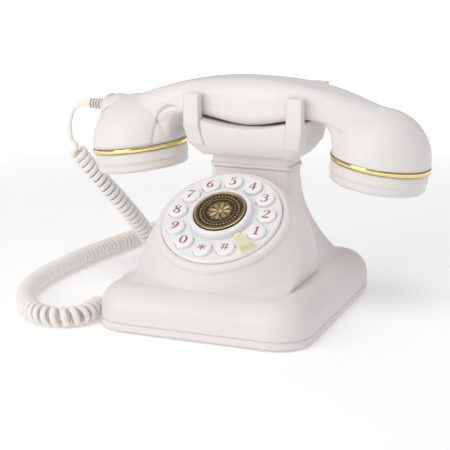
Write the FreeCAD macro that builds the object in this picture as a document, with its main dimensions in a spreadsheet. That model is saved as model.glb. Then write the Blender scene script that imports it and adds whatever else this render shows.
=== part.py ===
import FreeCAD, Part
import math
import os
import Sketcher

# Retro desk phone with a high four-prong cradle, push keys in a dial and a curly handset cord.
# Millimetres. +Z is up, the front faces -Y, +X is to the right, and the feet stand on Z = 0.

V = FreeCAD.Vector
doc = FreeCAD.newDocument("desk_phone")
sheet = doc.addObject("Spreadsheet::Sheet", "sheet")


class Size:
    """A length that remembers the sheet formula it was worked out by."""

    def __init__(self, value, text):
        self.value = value
        self.text = text

    def __add__(self, other):
        other = size(other)
        return Size(self.value + other.value, "(%s + %s)" % (self.text, other.text))

    def __sub__(self, other):
        other = size(other)
        return Size(self.value - other.value, "(%s - %s)" % (self.text, other.text))

    def __mul__(self, other):
        other = size(other)
        return Size(self.value * other.value, "(%s * %s)" % (self.text, other.text))

    def __truediv__(self, other):
        other = size(other)
        return Size(self.value / other.value, "(%s / %s)" % (self.text, other.text))

    def __neg__(self):
        return Size(-self.value, "(0 - %s)" % self.text)

    __radd__ = __add__
    __rmul__ = __mul__

    def __rsub__(self, other):
        return size(other) - self


def size(value):
    """Wrap a plain number as a Size."""
    if isinstance(value, Size):
        return value
    return Size(float(value), "%.6f" % value)


def dim(alias, value):
    """Write one driving dimension into the sheet and hand it back as a Size."""
    dim.row += 1
    sheet.set("A%d" % dim.row, alias)
    sheet.set("B%d" % dim.row, str(value))
    sheet.setAlias("B%d" % dim.row, alias)
    return Size(float(value), "sheet." + alias)


dim.row = 0

# Driving dimensions: plinth and skirt
base_width = dim("base_width", 131.2)
base_depth = dim("base_depth", 152.8)
base_corner = dim("base_corner", 21.5)
base_lift = dim("base_lift", 1.2)
seam_height = dim("seam_height", 5.9)
ledge_height = dim("ledge_height", 26.6)
ledge_inset = dim("ledge_inset", 16.2)
shoulder_radius = dim("shoulder_radius", 14.5)
skirt_corner = dim("skirt_corner", 12)
skirt_power = dim("skirt_power", 2.2)
wall = dim("wall", 2.4)
floor_thickness = dim("floor_thickness", 2.2)

# Driving dimensions: neck and cradle
cradle_y = dim("cradle_y", 29)
neck_width = dim("neck_width", 52.2)
neck_depth = dim("neck_depth", 24)
neck_corner = dim("neck_corner", 4)
neck_height = dim("neck_height", 84)
bead_height = dim("bead_height", 2.6)
bead_proud = dim("bead_proud", 0.9)
head_width = dim("head_width", 76)
head_depth = dim("head_depth", 51)
head_corner = dim("head_corner", 4)
head_height = dim("head_height", 115.4)
saddle_height = dim("saddle_height", 111)
saddle_radius = dim("saddle_radius", 104)
saddle_thickness = dim("saddle_thickness", 5)
bulge_lift = dim("bulge_lift", 8)
bulge_rise = dim("bulge_rise", 20)
spigot_depth = dim("spigot_depth", 4)
prong_width = dim("prong_width", 10)
prong_thickness = dim("prong_thickness", 6)
prong_span = dim("prong_span", 54)
front_prong_top = dim("front_prong_top", 130.8)
rear_prong_top = dim("rear_prong_top", 135.6)
prong_fade = dim("prong_fade", 4.6)
prong_round = dim("prong_round", 1)

# Driving dimensions: hook
plunger_width = dim("plunger_width", 16)
plunger_depth = dim("plunger_depth", 10)
plunger_height = dim("plunger_height", 13)
plunger_flange = dim("plunger_flange", 1.6)
switch_height = dim("switch_height", 8)

# Driving dimensions: dial, measured along the dial axis from the plane of the key tops
dial_y = dim("dial_y", -31.8)
dial_height = dim("dial_height", 65.8)
dial_tilt = dim("dial_tilt", 32.3)
bezel_radius = dim("bezel_radius", 41)
bezel_sink = dim("bezel_sink", 4)
bezel_round = dim("bezel_round", 3)
plate_radius = dim("plate_radius", 36.4)
plate_sink = dim("plate_sink", 2)
plate_thickness = dim("plate_thickness", 3)
key_count = 12
key_circle = dim("key_circle", 27.8)
key_radius = dim("key_radius", 5.7)
key_crown = dim("key_crown", 0.6)
key_lip = dim("key_lip", 0.8)
key_flange = dim("key_flange", 1.2)
key_travel = dim("key_travel", 1.6)
first_key_angle = dim("first_key_angle", -22.6)
key_step_angle = dim("key_step_angle", 28.76)
collar_radius = dim("collar_radius", 19.2)
collar_height = dim("collar_height", 4.8)
medallion_radius = dim("medallion_radius", 15.8)
medallion_thickness = dim("medallion_thickness", 2.4)
medallion_stem = dim("medallion_stem", 9.5)
stop_width = dim("stop_width", 7.2)
stop_thickness = dim("stop_thickness", 1.5)
stop_wedge = dim("stop_wedge", 8)
mat_thickness = dim("mat_thickness", 1)
board_thickness = dim("board_thickness", 1.6)
skirt_ring = dim("skirt_ring", 1.5)
pod_depth = dim("pod_depth", 13)
pod_flare = dim("pod_flare", 4)
pod_back = dim("pod_back", 14)
pod_slack = dim("pod_slack", 0.8)

# Driving dimensions: handset
handset_span = dim("handset_span", 79.9)
ring_height = dim("ring_height", 91.8)
cap_tilt = dim("cap_tilt", 8.3)
dome_radius = dim("dome_radius", 30.4)
dome_height = dim("dome_height", 33)
ring_width = dim("ring_width", 3.2)
ring_proud = dim("ring_proud", 0.7)
cap_height = dim("cap_height", 12.6)
cap_band = dim("cap_band", 6.6)
cap_step = dim("cap_step", 0.7)
cap_chamfer = dim("cap_chamfer", 1.2)
cap_hole_radius = dim("cap_hole_radius", 1.4)
cap_hole_circle = dim("cap_hole_circle", 8)
handset_wall = dim("handset_wall", 2.2)
handle_mid_height = dim("handle_mid_height", 28.5)
handle_belly_height = dim("handle_belly_height", 21.8)
handle_waist_height = dim("handle_waist_height", 19.2)
handle_root_height = dim("handle_root_height", 23)
handle_end_height = dim("handle_end_height", 25)
handle_crown = dim("handle_crown", 15)
handle_top_round = dim("handle_top_round", 0.42)
handle_low_round = dim("handle_low_round", 0.22)
handle_mid_width = dim("handle_mid_width", 39)
handle_belly_width = dim("handle_belly_width", 38.6)
handle_waist_width = dim("handle_waist_width", 37.6)
handle_root_width = dim("handle_root_width", 34)
handle_end_width = dim("handle_end_width", 28)
cord_end_reach = dim("cord_end_reach", 24.4)
cord_end_height = dim("cord_end_height", 22)
cord_end_width = dim("cord_end_width", 24)
cord_end_drop = dim("cord_end_drop", 1.2)
cord_end_round = dim("cord_end_round", 3)
arch_inner = dim("arch_inner", 38)
arch_reach = dim("arch_reach", 15.5)
arch_drop = dim("arch_drop", 19.6)
arch_half_width = dim("arch_half_width", 16)
arch_round = dim("arch_round", 4)
cover_foot = dim("cover_foot", 62)
cover_shoulder = dim("cover_shoulder", 60.5)
cover_round = dim("cover_round", 12)
cover_rise = dim("cover_rise", 9.6)
receiver_radius = dim("receiver_radius", 20)
receiver_height = dim("receiver_height", 8)
microphone_radius = dim("microphone_radius", 8)
microphone_height = dim("microphone_height", 6)
weight_length = dim("weight_length", 16)
weight_width = dim("weight_width", 14)
weight_height = dim("weight_height", 10)

# Driving dimensions: cord
wire_diameter = dim("wire_diameter", 2.6)
curl_radius = dim("curl_radius", 4.7)
relief_length = dim("relief_length", 12)
relief_radius = dim("relief_radius", 3.8)
relief_ribs = 6
relief_neck = dim("relief_neck", 2.4)
relief_sink = dim("relief_sink", 7.2)
plug_length = dim("plug_length", 13)
plug_width = dim("plug_width", 7.6)
plug_height = dim("plug_height", 6.4)

# Driving dimensions: inside and rear of the base
foot_radius = dim("foot_radius", 6)
foot_height = dim("foot_height", 2.2)
foot_inset = dim("foot_inset", 17)
boss_radius = dim("boss_radius", 4)
boss_inset = dim("boss_inset", 11)
screw_radius = dim("screw_radius", 1.3)
screw_head = dim("screw_head", 2.6)
screw_length = dim("screw_length", 9)
jack_recess = dim("jack_recess", 0.8)
boss_length = dim("boss_length", 15)
ballast_length = dim("ballast_length", 70)
ballast_width = dim("ballast_width", 40)
ballast_height = dim("ballast_height", 8)
ballast_y = dim("ballast_y", 34)
main_board_length = dim("main_board_length", 80)
main_board_width = dim("main_board_width", 44)
main_board_y = dim("main_board_y", -26)
board_post = dim("board_post", 4)
ringer_radius = dim("ringer_radius", 11)
ringer_height = dim("ringer_height", 8)
jack_depth = dim("jack_depth", 14)
jack_wall = dim("jack_wall", 1.8)
handset_jack_y = dim("handset_jack_y", 8)
jack_height = dim("jack_height", 12.4)
line_socket_width = dim("line_socket_width", 10)
line_socket_height = dim("line_socket_height", 7)
knob_width = dim("knob_width", 4)
knob_height = dim("knob_height", 3)
knob_recess = dim("knob_recess", 0.3)
knob_travel = dim("knob_travel", 5)
knob_x = dim("knob_x", 30)
flange_drop = dim("flange_drop", 2.1)

# Named clearances
slide_fit = dim("slide_fit", 0.25)
seat_fit = dim("seat_fit", 0.15)
rest_gap = dim("rest_gap", 0.4)

parts = []


def keep(obj, label):
    """Register a finished sub-part under its file name."""
    obj.Label = label
    parts.append(obj)
    return obj


def origin_plane(body, role):
    """One of the body's own origin planes."""
    return [f for f in body.Origin.OriginFeatures if f.Role == role][0]


def new_body(label):
    return keep(doc.addObject("PartDesign::Body", label), label)


def new_sketch(body, name, role, place=None):
    """An empty sketch on an origin plane of the body, moved by place within that plane's frame."""
    sketch = body.newObject("Sketcher::SketchObject", name)
    sketch.AttachmentSupport = [(origin_plane(body, role), "")]
    sketch.MapMode = "FlatFace"
    if place is not None:
        sketch.AttachmentOffset = place
    return sketch


def pin(sketch, line, axis, value):
    """Tie the start of a sketch line to its distance from the origin along one axis."""
    value = size(value)
    if abs(value.value) < 1e-9:
        sketch.addConstraint(Sketcher.Constraint("PointOnObject", line, 1, -2 if axis == "X" else -1))
        return
    index = sketch.addConstraint(Sketcher.Constraint("Distance" + axis, -1, 1, line, 1, value.value))
    sketch.setExpression("Constraints[%d]" % index, value.text)


def polygon(sketch, corners):
    """A closed outline whose every corner is tied to the sheet."""
    first = sketch.GeometryCount
    count = len(corners)
    points = [V(size(x).value, size(y).value, 0) for x, y in corners]
    for i in range(count):
        sketch.addGeometry(Part.LineSegment(points[i], points[(i + 1) % count]), False)
    for i in range(count):
        sketch.addConstraint(Sketcher.Constraint("Coincident", first + i, 2, first + (i + 1) % count, 1))
    for i, (x, y) in enumerate(corners):
        pin(sketch, first + i, "X", x)
        pin(sketch, first + i, "Y", y)
    return sketch


def rounded_rectangle(sketch, half_x, low_y, high_y, corner):
    """Four lines and four tangent corner arcs, symmetric about the Y axis of the sketch."""
    half_x, low_y, high_y, corner = size(half_x), size(low_y), size(high_y), size(corner)
    hx, y0, y1, r = half_x.value, low_y.value, high_y.value, corner.value
    up = V(0, 0, 1)
    quarter = math.pi / 2
    first = sketch.GeometryCount
    sides = [(V(r - hx, y0, 0), V(hx - r, y0, 0)), (V(hx, y0 + r, 0), V(hx, y1 - r, 0)),
             (V(hx - r, y1, 0), V(r - hx, y1, 0)), (V(-hx, y1 - r, 0), V(-hx, y0 + r, 0))]
    centres = [V(hx - r, y0 + r, 0), V(hx - r, y1 - r, 0), V(r - hx, y1 - r, 0), V(r - hx, y0 + r, 0)]
    for i in range(4):
        sketch.addGeometry(Part.LineSegment(*sides[i]), False)
        circle = Part.Circle(centres[i], up, r)
        sketch.addGeometry(Part.ArcOfCircle(circle, (i - 1) * quarter, i * quarter), False)
    for i in range(4):
        line, arc, following = first + 2 * i, first + 2 * i + 1, first + (2 * i + 2) % 8
        sketch.addConstraint(Sketcher.Constraint("Tangent", line, 2, arc, 1))
        sketch.addConstraint(Sketcher.Constraint("Tangent", arc, 2, following, 1))
        sketch.addConstraint(Sketcher.Constraint("Horizontal" if i % 2 == 0 else "Vertical", line))
        if i:
            sketch.addConstraint(Sketcher.Constraint("Equal", first + 1, arc))
    index = sketch.addConstraint(Sketcher.Constraint("Radius", first + 1, r))
    sketch.setExpression("Constraints[%d]" % index, corner.text)
    pin(sketch, first + 2, "X", half_x)
    pin(sketch, first + 6, "X", -half_x)
    pin(sketch, first, "Y", low_y)
    pin(sketch, first + 4, "Y", high_y)
    return sketch


def tie(feature, prop, value):
    """Bind a feature's property to the sheet."""
    value = size(value)
    setattr(feature, prop, value.value)
    feature.setExpression(prop, value.text)


def pad(body, sketch, length, reverse=False):
    feature = body.newObject("PartDesign::Pad", sketch.Name + "_pad")
    feature.Profile = sketch
    tie(feature, "Length", length)
    feature.Reversed = reverse
    body.Tip = feature
    return feature


def pocket(body, sketch, length=None, reverse=False, both=False):
    feature = body.newObject("PartDesign::Pocket", sketch.Name + "_pocket")
    feature.Profile = sketch
    if length is None:
        feature.Type = "ThroughAll"
    else:
        tie(feature, "Length", length)
    feature.Midplane = both
    feature.Reversed = reverse
    body.Tip = feature
    return feature


def turn(body, sketch):
    feature = body.newObject("PartDesign::Revolution", sketch.Name + "_turn")
    feature.Profile = sketch
    feature.ReferenceAxis = (sketch, ["V_Axis"])
    feature.Angle = 360
    body.Tip = feature
    return feature


def loft(body, sketches, cut=False, ruled=False):
    kind = "PartDesign::SubtractiveLoft" if cut else "PartDesign::AdditiveLoft"
    feature = body.newObject(kind, sketches[0].Name + "_loft")
    feature.Profile = sketches[0]
    feature.Sections = sketches[1:]
    feature.Ruled = ruled
    body.Tip = feature
    return feature


def drill(body, name, radius, length, place):
    """A round hole along local Z of place."""
    feature = body.newObject("PartDesign::SubtractiveCylinder", name)
    tie(feature, "Radius", radius)
    tie(feature, "Height", length)
    feature.AttachmentSupport = [(origin_plane(body, "XY_Plane"), "")]
    feature.MapMode = "FlatFace"
    feature.AttachmentOffset = place
    body.Tip = feature
    return feature


def slot(body, name, length, width, height, place):
    """A rectangular opening with one corner at place."""
    feature = body.newObject("PartDesign::SubtractiveBox", name)
    tie(feature, "Length", length)
    tie(feature, "Width", width)
    tie(feature, "Height", height)
    feature.AttachmentSupport = [(origin_plane(body, "XY_Plane"), "")]
    feature.MapMode = "FlatFace"
    feature.AttachmentOffset = place
    body.Tip = feature
    return feature


def column(body, name, radius, length, place):
    """A round post along local Z of place."""
    feature = body.newObject("PartDesign::AdditiveCylinder", name)
    tie(feature, "Radius", radius)
    tie(feature, "Height", length)
    feature.AttachmentSupport = [(origin_plane(body, "XY_Plane"), "")]
    feature.MapMode = "FlatFace"
    feature.AttachmentOffset = place
    body.Tip = feature
    return feature


def round_edges(body, radius, pick):
    """Fillet the edges of the body so far that pick accepts."""
    doc.recompute()
    base = body.Tip
    names = ["Edge%d" % (i + 1) for i, edge in enumerate(base.Shape.Edges) if pick(edge)]
    feature = body.newObject("PartDesign::Fillet", base.Name + "_round")
    feature.Base = (base, names)
    tie(feature, "Radius", radius)
    body.Tip = feature
    return feature


def at_height(z):
    """An edge test: lying flat at height z."""
    return lambda e: abs(e.BoundBox.ZMin - z.value) < 1e-4 and abs(e.BoundBox.ZMax - z.value) < 1e-4


def raised(z):
    return FreeCAD.Placement(V(0, 0, size(z).value), FreeCAD.Rotation())


def moved(x, y, z):
    return FreeCAD.Placement(V(size(x).value, size(y).value, size(z).value), FreeCAD.Rotation())


def turned_body(label, corners):
    """A body of revolution about local Z from (radius, height) corners."""
    body = new_body(label)
    turn(body, polygon(new_sketch(body, label + "_profile", "XZ_Plane"), corners))
    return body


def block_body(label, length, width, height):
    """A block standing on local XY, centred on local Z."""
    body = new_body(label)
    corners = [(-length / 2, -width / 2), (length / 2, -width / 2), (length / 2, width / 2),
               (-length / 2, width / 2)]
    pad(body, polygon(new_sketch(body, label + "_plan", "XY_Plane"), corners), height)
    return body


# The dial frame: local Z along the dial axis, local Y up the dial, origin in the plane of the key tops
dial_turn = FreeCAD.Rotation(V(1, 0, 0), dial_tilt.value)
dial_centre = V(0, dial_y.value, dial_height.value)


def dial_place(x=0, y=0, h=0):
    offset = dial_turn.multVec(V(size(x).value, size(y).value, size(h).value))
    return FreeCAD.Placement(dial_centre + offset, dial_turn)


# Upper housing: plinth with a rolled shoulder, flared skirt up to the neck, and a round dial pod
half_width = base_width / 2
half_depth = base_depth / 2
neck_front = cradle_y - neck_depth / 2
neck_back = cradle_y + neck_depth / 2
skirt_half = half_width - ledge_inset
skirt_front = ledge_inset - half_depth
skirt_back = half_depth - ledge_inset
skirt_steps = 6


def skirt_section(body, name, step, inset):
    """Rounded rectangle of the skirt at one step of its rise, a power curve from ledge to neck."""
    rise = step / (skirt_steps - 1.0)
    share = (1 - rise) ** skirt_power.value
    z = ledge_height + (neck_height - ledge_height) * rise
    if step == 0:
        z = z - inset * 1.5
    half_x = neck_width / 2 + (skirt_half - neck_width / 2) * share - inset
    front = neck_front + (skirt_front - neck_front) * share + inset
    back = neck_back + (skirt_back - neck_back) * share - inset
    corner = neck_corner + (skirt_corner - neck_corner) * share - inset / 2
    return rounded_rectangle(new_sketch(body, name + str(step), "XY_Plane", raised(z)),
                             half_x, front, back, corner)


def pod_sections(body, name, inset):
    """Sections of the dial pod, from the ledge outline to a near-circle under the bezel."""
    foot_sketch = new_sketch(body, name + "_foot", "XY_Plane", raised(ledge_height - wall / 2 - inset))
    foot = rounded_rectangle(foot_sketch,
                             skirt_half - inset - 1, skirt_front + inset + 1, pod_back - inset, skirt_corner)
    sections = [foot]
    for part, (depth, flare) in enumerate([(pod_depth, pod_flare), (bezel_sink + bezel_round, -pod_slack)]):
        radius = bezel_radius + flare - inset
        place = dial_place(0, 0, -depth - inset)
        sketch = new_sketch(body, "%s_rim%d" % (name, part), "XY_Plane", place)
        sections.append(rounded_rectangle(sketch, radius, -radius, radius, radius * 0.99))
    return sections


shoulder_steps = 4


def plinth_inside(body, step):
    """Section of the plinth's hollow: upright up to the shoulder, then following its arc a wall inside it."""
    angle = math.radians(90.0 * max(step, 0) / shoulder_steps)
    inset = wall + (shoulder_radius - wall) * (1 - math.cos(angle))
    z = ledge_height - shoulder_radius + (shoulder_radius - wall) * math.sin(angle)
    if step < 0:
        z = seam_height
    sketch = new_sketch(body, "plinth_inside%d" % (step + 1), "XY_Plane", raised(z))
    return rounded_rectangle(sketch, half_width - inset, inset - half_depth, half_depth - inset,
                             base_corner - inset)


housing = new_body("upper_housing")
plinth = rounded_rectangle(new_sketch(housing, "plinth_plan", "XY_Plane", raised(seam_height)),
                           half_width, -half_depth, half_depth, base_corner)
pad(housing, plinth, ledge_height - seam_height)
round_edges(housing, shoulder_radius, at_height(ledge_height))
loft(housing, [skirt_section(housing, "skirt", step, size(0)) for step in range(skirt_steps)])
loft(housing, pod_sections(housing, "pod", size(0)))
column(housing, "bezel_rim", bezel_radius, pod_depth, dial_place(0, 0, -bezel_sink - pod_depth))
rim_top = dial_place(0, 0, -bezel_sink)
round_edges(housing, bezel_round, lambda e: abs((rim_top.inverse().multVec(e.CenterOfMass)).z) < 1e-4
            and e.Length > bezel_radius.value)
loft(housing, [plinth_inside(housing, step) for step in range(-1, shoulder_steps + 1)], cut=True, ruled=True)
loft(housing, [skirt_section(housing, "skirt_inside", step, wall) for step in range(skirt_steps)], cut=True)
loft(housing, pod_sections(housing, "pod_inside", wall), cut=True)
well_radius = plate_radius + seat_fit
shelf_sink = plate_sink + plate_thickness + key_flange + key_travel + slide_fit + seat_fit
drill(housing, "dial_well", well_radius, shelf_sink, dial_place(0, 0, -shelf_sink))
shelf_opening = plate_radius - skirt_ring - 1
drill(housing, "dial_opening", shelf_opening, pod_depth + wall, dial_place(0, 0, -pod_depth - wall))

corners = [(sx, sy) for sx in (-1, 1) for sy in (-1, 1)]
floor_top = base_lift + floor_thickness
boss_x = half_width - boss_inset
boss_y = half_depth - boss_inset
for i, (sx, sy) in enumerate(corners):
    foot = moved(boss_x * sx, boss_y * sy, floor_top)
    column(housing, "boss%d" % i, boss_radius, boss_length, foot)
    drill(housing, "boss_bore%d" % i, screw_radius + seat_fit, screw_length, foot)

# Openings for the two jacks and the ringer switch
plug_jack_width = plug_width + (slide_fit + jack_wall) * 2
plug_jack_height = plug_height + (slide_fit + jack_wall) * 2
line_jack_width = line_socket_width + jack_wall * 2
line_jack_height = line_socket_height + jack_wall * 2
slot(housing, "handset_jack_opening", wall * 3, plug_jack_width + seat_fit * 2,
     plug_jack_height + seat_fit * 2,
     moved(-half_width - wall, handset_jack_y - plug_jack_width / 2 - seat_fit,
           jack_height - plug_jack_height / 2 - seat_fit))
slot(housing, "line_jack_opening", line_jack_width + seat_fit * 2, wall * 3, line_jack_height + seat_fit * 2,
     moved(-line_jack_width / 2 - seat_fit, half_depth - wall * 2,
           jack_height - line_jack_height / 2 - seat_fit))
slot(housing, "switch_opening", knob_width + knob_travel + slide_fit * 2, wall * 3,
     knob_height + slide_fit * 2,
     moved(knob_x - knob_width / 2 - slide_fit, half_depth - wall * 2,
           jack_height - knob_height / 2 - slide_fit))

# Base plate: a shallow tray closing the housing at the seam, with pockets for feet and screw heads
plate = new_body("base_plate")
pad(plate, rounded_rectangle(new_sketch(plate, "tray_plan", "XY_Plane", raised(base_lift)),
                             half_width, -half_depth, half_depth, base_corner), seam_height - base_lift)
round_edges(plate, base_lift, at_height(base_lift))
tray_inside = rounded_rectangle(new_sketch(plate, "tray_inside", "XY_Plane", raised(seam_height)),
                                half_width - wall, wall - half_depth, half_depth - wall, base_corner - wall)
pocket(plate, tray_inside, seam_height - floor_top)
foot_x = half_width - foot_inset
foot_y = half_depth - foot_inset - base_corner / 2
foot_pocket = foot_height - base_lift
for i, (sx, sy) in enumerate(corners):
    drill(plate, "foot_pocket%d" % i, foot_radius, foot_pocket, moved(foot_x * sx, foot_y * sy, base_lift))
    drill(plate, "screw_pass%d" % i, screw_radius + seat_fit, floor_thickness,
          moved(boss_x * sx, boss_y * sy, base_lift))
    drill(plate, "screw_seat%d" % i, screw_head + seat_fit, floor_thickness / 2,
          moved(boss_x * sx, boss_y * sy, base_lift))
    column(plate, "board_post%d" % i, board_post / 2, board_post,
           moved((main_board_length / 2 - board_post) * sx,
                 main_board_y + (main_board_width / 2 - board_post) * sy,
                 floor_top))

for sx, sy in corners:
    label = "foot_%s_%s" % ("front" if sy < 0 else "rear", "left" if sx < 0 else "right")
    foot = turned_body(label, [(0, 0), (foot_radius - base_lift / 2, 0),
                               (foot_radius - slide_fit, base_lift / 2),
                               (foot_radius - slide_fit, foot_height), (0, foot_height)])
    foot.Placement = moved(foot_x * sx, foot_y * sy, 0)

for i, (sx, sy) in enumerate(corners):
    screw = turned_body("base_screw_%d" % (i + 1), [
        (0, 0), (screw_head, 0), (screw_head, floor_thickness / 2), (screw_radius, floor_thickness / 2),
        (screw_radius, floor_thickness / 2 + screw_length), (0, floor_thickness / 2 + screw_length)])
    screw.Placement = moved(boss_x * sx, boss_y * sy, base_lift)

# What the base holds: ballast, main board, ringer, jacks and the ringer switch
ballast = block_body("ballast_weight", ballast_length, ballast_width, ballast_height)
ballast.Placement = moved(0, ballast_y, floor_top)
block_body("main_board", main_board_length, main_board_width, board_thickness).Placement = moved(
    0, main_board_y, floor_top + board_post)
turned_body("ringer", [(0, 0), (ringer_radius, 0), (ringer_radius, ringer_height),
                       (0, ringer_height)]).Placement = moved(
    ringer_radius, main_board_y, floor_top + board_post + board_thickness)


def socket_block(label, depth, width, height, hole_depth, hole_width, hole_height):
    """A block along local +Y with a socket opening at its far end."""
    body = block_body(label, width, depth, height)
    slot(body, label + "_socket", hole_width, hole_depth, hole_height,
         moved(-hole_width / 2, depth / 2 - hole_depth, (height - hole_height) / 2))
    return body


plug_seat = jack_depth - jack_wall * 2
handset_jack = socket_block("handset_jack", jack_depth, plug_jack_width, plug_jack_height, plug_seat,
                            plug_width + slide_fit * 2, plug_height + slide_fit * 2)
handset_jack.Placement = FreeCAD.Placement(
    V((jack_recess + jack_depth / 2 - half_width).value, handset_jack_y.value,
      (jack_height - plug_jack_height / 2).value), FreeCAD.Rotation(V(0, 0, 1), 90))
line_jack = socket_block("line_jack", jack_depth, line_jack_width, line_jack_height, plug_seat,
                         line_socket_width, line_socket_height)
line_jack.Placement = moved(0, half_depth - jack_recess - jack_depth / 2, jack_height - line_jack_height / 2)

# Ringer switch: a knob through the rear wall on a flange that runs behind it
switch_flange = knob_height + wall
knob = block_body("ringer_switch", knob_width, wall + slide_fit - knob_recess, knob_height)
flange_low = knob_height / 2 - switch_flange / 2 - flange_drop
flange_high = knob_height / 2 + switch_flange / 2 - flange_drop
knob_back = polygon(new_sketch(knob, "knob_flange", "XZ_Plane"), [
    (-switch_flange, flange_low), (switch_flange, flange_low), (switch_flange, flange_high),
    (-switch_flange, flange_high)])
knob_back.AttachmentOffset = raised((wall + slide_fit - knob_recess) / 2)
pad(knob, knob_back, board_thickness)
knob.Placement = moved(knob_x, half_depth - knob_recess - (wall + slide_fit - knob_recess) / 2,
                       jack_height - knob_height / 2)
switch_top = jack_height + switch_flange / 2 - floor_top
switch_gap = half_depth - wall - board_thickness - slide_fit * 2
switch_base = block_body("switch_base", switch_flange * 3, switch_height, switch_top)
switch_base.Placement = moved(knob_x + knob_travel / 2, switch_gap - switch_height / 2, floor_top)

# Cradle: a bead at the neck, a head that swells out of it, a dished saddle and four tapering prongs
cradle = new_body("cradle")
neck_half = neck_width / 2


def neck_outline(name, z, grow):
    """The neck's rounded rectangle at height z, grown all round."""
    sketch = new_sketch(cradle, name, "XY_Plane", raised(z))
    return rounded_rectangle(sketch, neck_half + grow, neck_front - grow, neck_back + grow,
                             neck_corner + grow / 2)


def head_outline(name, z, share):
    """Between the neck's outline (share 0) and the head's (share 1)."""
    half_y = neck_depth / 2 + (head_depth - neck_depth) / 2 * share
    half_x = neck_half + (head_width / 2 - neck_half) * share
    sketch = new_sketch(cradle, name, "XY_Plane", raised(z))
    return rounded_rectangle(sketch, half_x, cradle_y - half_y, cradle_y + half_y, head_corner)


bulge_start = neck_height + bulge_lift
pad(cradle, neck_outline("bead_plan", neck_height, bead_proud), bead_height)
round_edges(cradle, bead_proud * 0.9, at_height(neck_height + bead_height))
pad(cradle, neck_outline("neck_plan", neck_height, size(0)), bulge_lift + bulge_rise / 2)
pad(cradle, neck_outline("spigot_plan", neck_height, -wall - seat_fit), spigot_depth, reverse=True)
bulge = []
bulge_steps = 5
for step in range(bulge_steps):
    rise = step / (bulge_steps - 1.0)
    share = math.sqrt(1 - (0.92 * (1 - rise)) ** 2)
    bulge.append(head_outline("bulge%d" % step, bulge_start + bulge_rise * rise, share))
loft(cradle, bulge)
pad(cradle, head_outline("head_plan", bulge_start + bulge_rise, 1), head_height - bulge_start - bulge_rise)
across = FreeCAD.Rotation(V(1, 0, 0), -90)
drill(cradle, "saddle", saddle_radius, head_depth * 2,
      FreeCAD.Placement(V(0, (cradle_y - head_depth).value, (saddle_height + saddle_radius).value), across))


def prong_section(name, z, x0, x1, y0, y1):
    return polygon(new_sketch(cradle, name, "XY_Plane", raised(z)), [(x0, y0), (x1, y0), (x1, y1), (x0, y1)])


prong_outer = head_width / 2 + slide_fit
for sx, sy in corners:
    name = "prong_%s%s" % ("f" if sy < 0 else "r", "l" if sx < 0 else "r")
    top = front_prong_top if sy < 0 else rear_prong_top
    outer_y = cradle_y + prong_span / 2 * sy
    inner_y = outer_y - prong_thickness * sy
    outer_x = prong_outer * sx
    inner_x = (prong_outer - prong_width) * sx
    root_y = cradle_y + (neck_depth / 2 + prong_fade) * sy
    root_x = (neck_half + prong_fade) * sx
    root = prong_section(name + "_root", bulge_start + prong_fade / 2, root_x, root_x - prong_width * sx,
                         root_y, root_y - prong_thickness * sy)
    hip_x = outer_x - prong_fade / 2 * sx
    hip_y = outer_y - prong_fade * 0.75 * sy
    hip = prong_section(name + "_hip", bulge_start + bulge_rise * 0.36, hip_x, hip_x - prong_width * sx,
                        hip_y, hip_y - prong_thickness * sy)
    middle = prong_section(name + "_middle", saddle_height, outer_x, inner_x, outer_y, inner_y)
    end = prong_section(name + "_end", top, outer_x, inner_x, outer_y, inner_y)
    loft(cradle, [root, hip], ruled=True)
    loft(cradle, [hip, middle], ruled=True)
    loft(cradle, [middle, end], ruled=True)
prong_tops = (front_prong_top.value, rear_prong_top.value)
round_edges(cradle, prong_round, lambda e: min(abs(e.BoundBox.ZMax - z) for z in prong_tops) < 1e-4
            and e.BoundBox.ZLength < 1e-4)
hollow_half = neck_half - wall * 2
hollow_top = saddle_height - saddle_thickness
pocket(cradle, rounded_rectangle(new_sketch(cradle, "cradle_hollow", "XY_Plane",
                                            raised(neck_height - spigot_depth)),
                                 hollow_half, neck_front + wall * 2, neck_back - wall * 2, neck_corner / 2),
       hollow_top - neck_height + spigot_depth, reverse=True)
slot(cradle, "plunger_guide", plunger_width + slide_fit * 2, plunger_depth + slide_fit * 2,
     saddle_thickness * 4,
     moved(-plunger_width / 2 - slide_fit, cradle_y - plunger_depth / 2 - slide_fit,
           hollow_top - saddle_thickness))

# Hook plunger in the saddle, flanged below its guide, and the switch it works on the hollow's wall
plunger = block_body("hook_plunger", plunger_width + plunger_flange * 2, plunger_depth + plunger_flange,
                     plunger_flange)
pad(plunger, polygon(new_sketch(plunger, "plunger_plan", "XY_Plane"), [
    (-plunger_width / 2, -plunger_depth / 2), (plunger_width / 2, -plunger_depth / 2),
    (plunger_width / 2, plunger_depth / 2), (-plunger_width / 2, plunger_depth / 2)]), plunger_height)
plunger.Placement = moved(0, cradle_y, saddle_height + rest_gap - seat_fit - plunger_height)
hook_switch = block_body("hook_switch", plunger_width, plunger_depth, switch_height)
hook_switch.Placement = moved(hollow_half - plunger_width / 2, cradle_y, neck_height)

# Dial: plate with two rings below it, hub collar, centre key, finger stop, twelve keys, mat and board
key_gap = key_radius + slide_fit
plate_top = -plate_sink
plate_under = plate_top - plate_thickness
flange_under = plate_under - key_flange
mat_top = -shelf_sink
hub_ring = key_circle - key_radius - key_lip - slide_fit * 2
dial_plate = turned_body("dial_plate", [
    (medallion_stem + slide_fit, plate_under), (hub_ring - skirt_ring, plate_under),
    (hub_ring - skirt_ring, mat_top),
    (hub_ring, mat_top), (hub_ring, plate_under), (plate_radius - skirt_ring, plate_under),
    (plate_radius - skirt_ring, mat_top), (plate_radius, mat_top), (plate_radius, plate_top - key_lip),
    (plate_radius - key_lip, plate_top), (medallion_stem + slide_fit, plate_top)])


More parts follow.
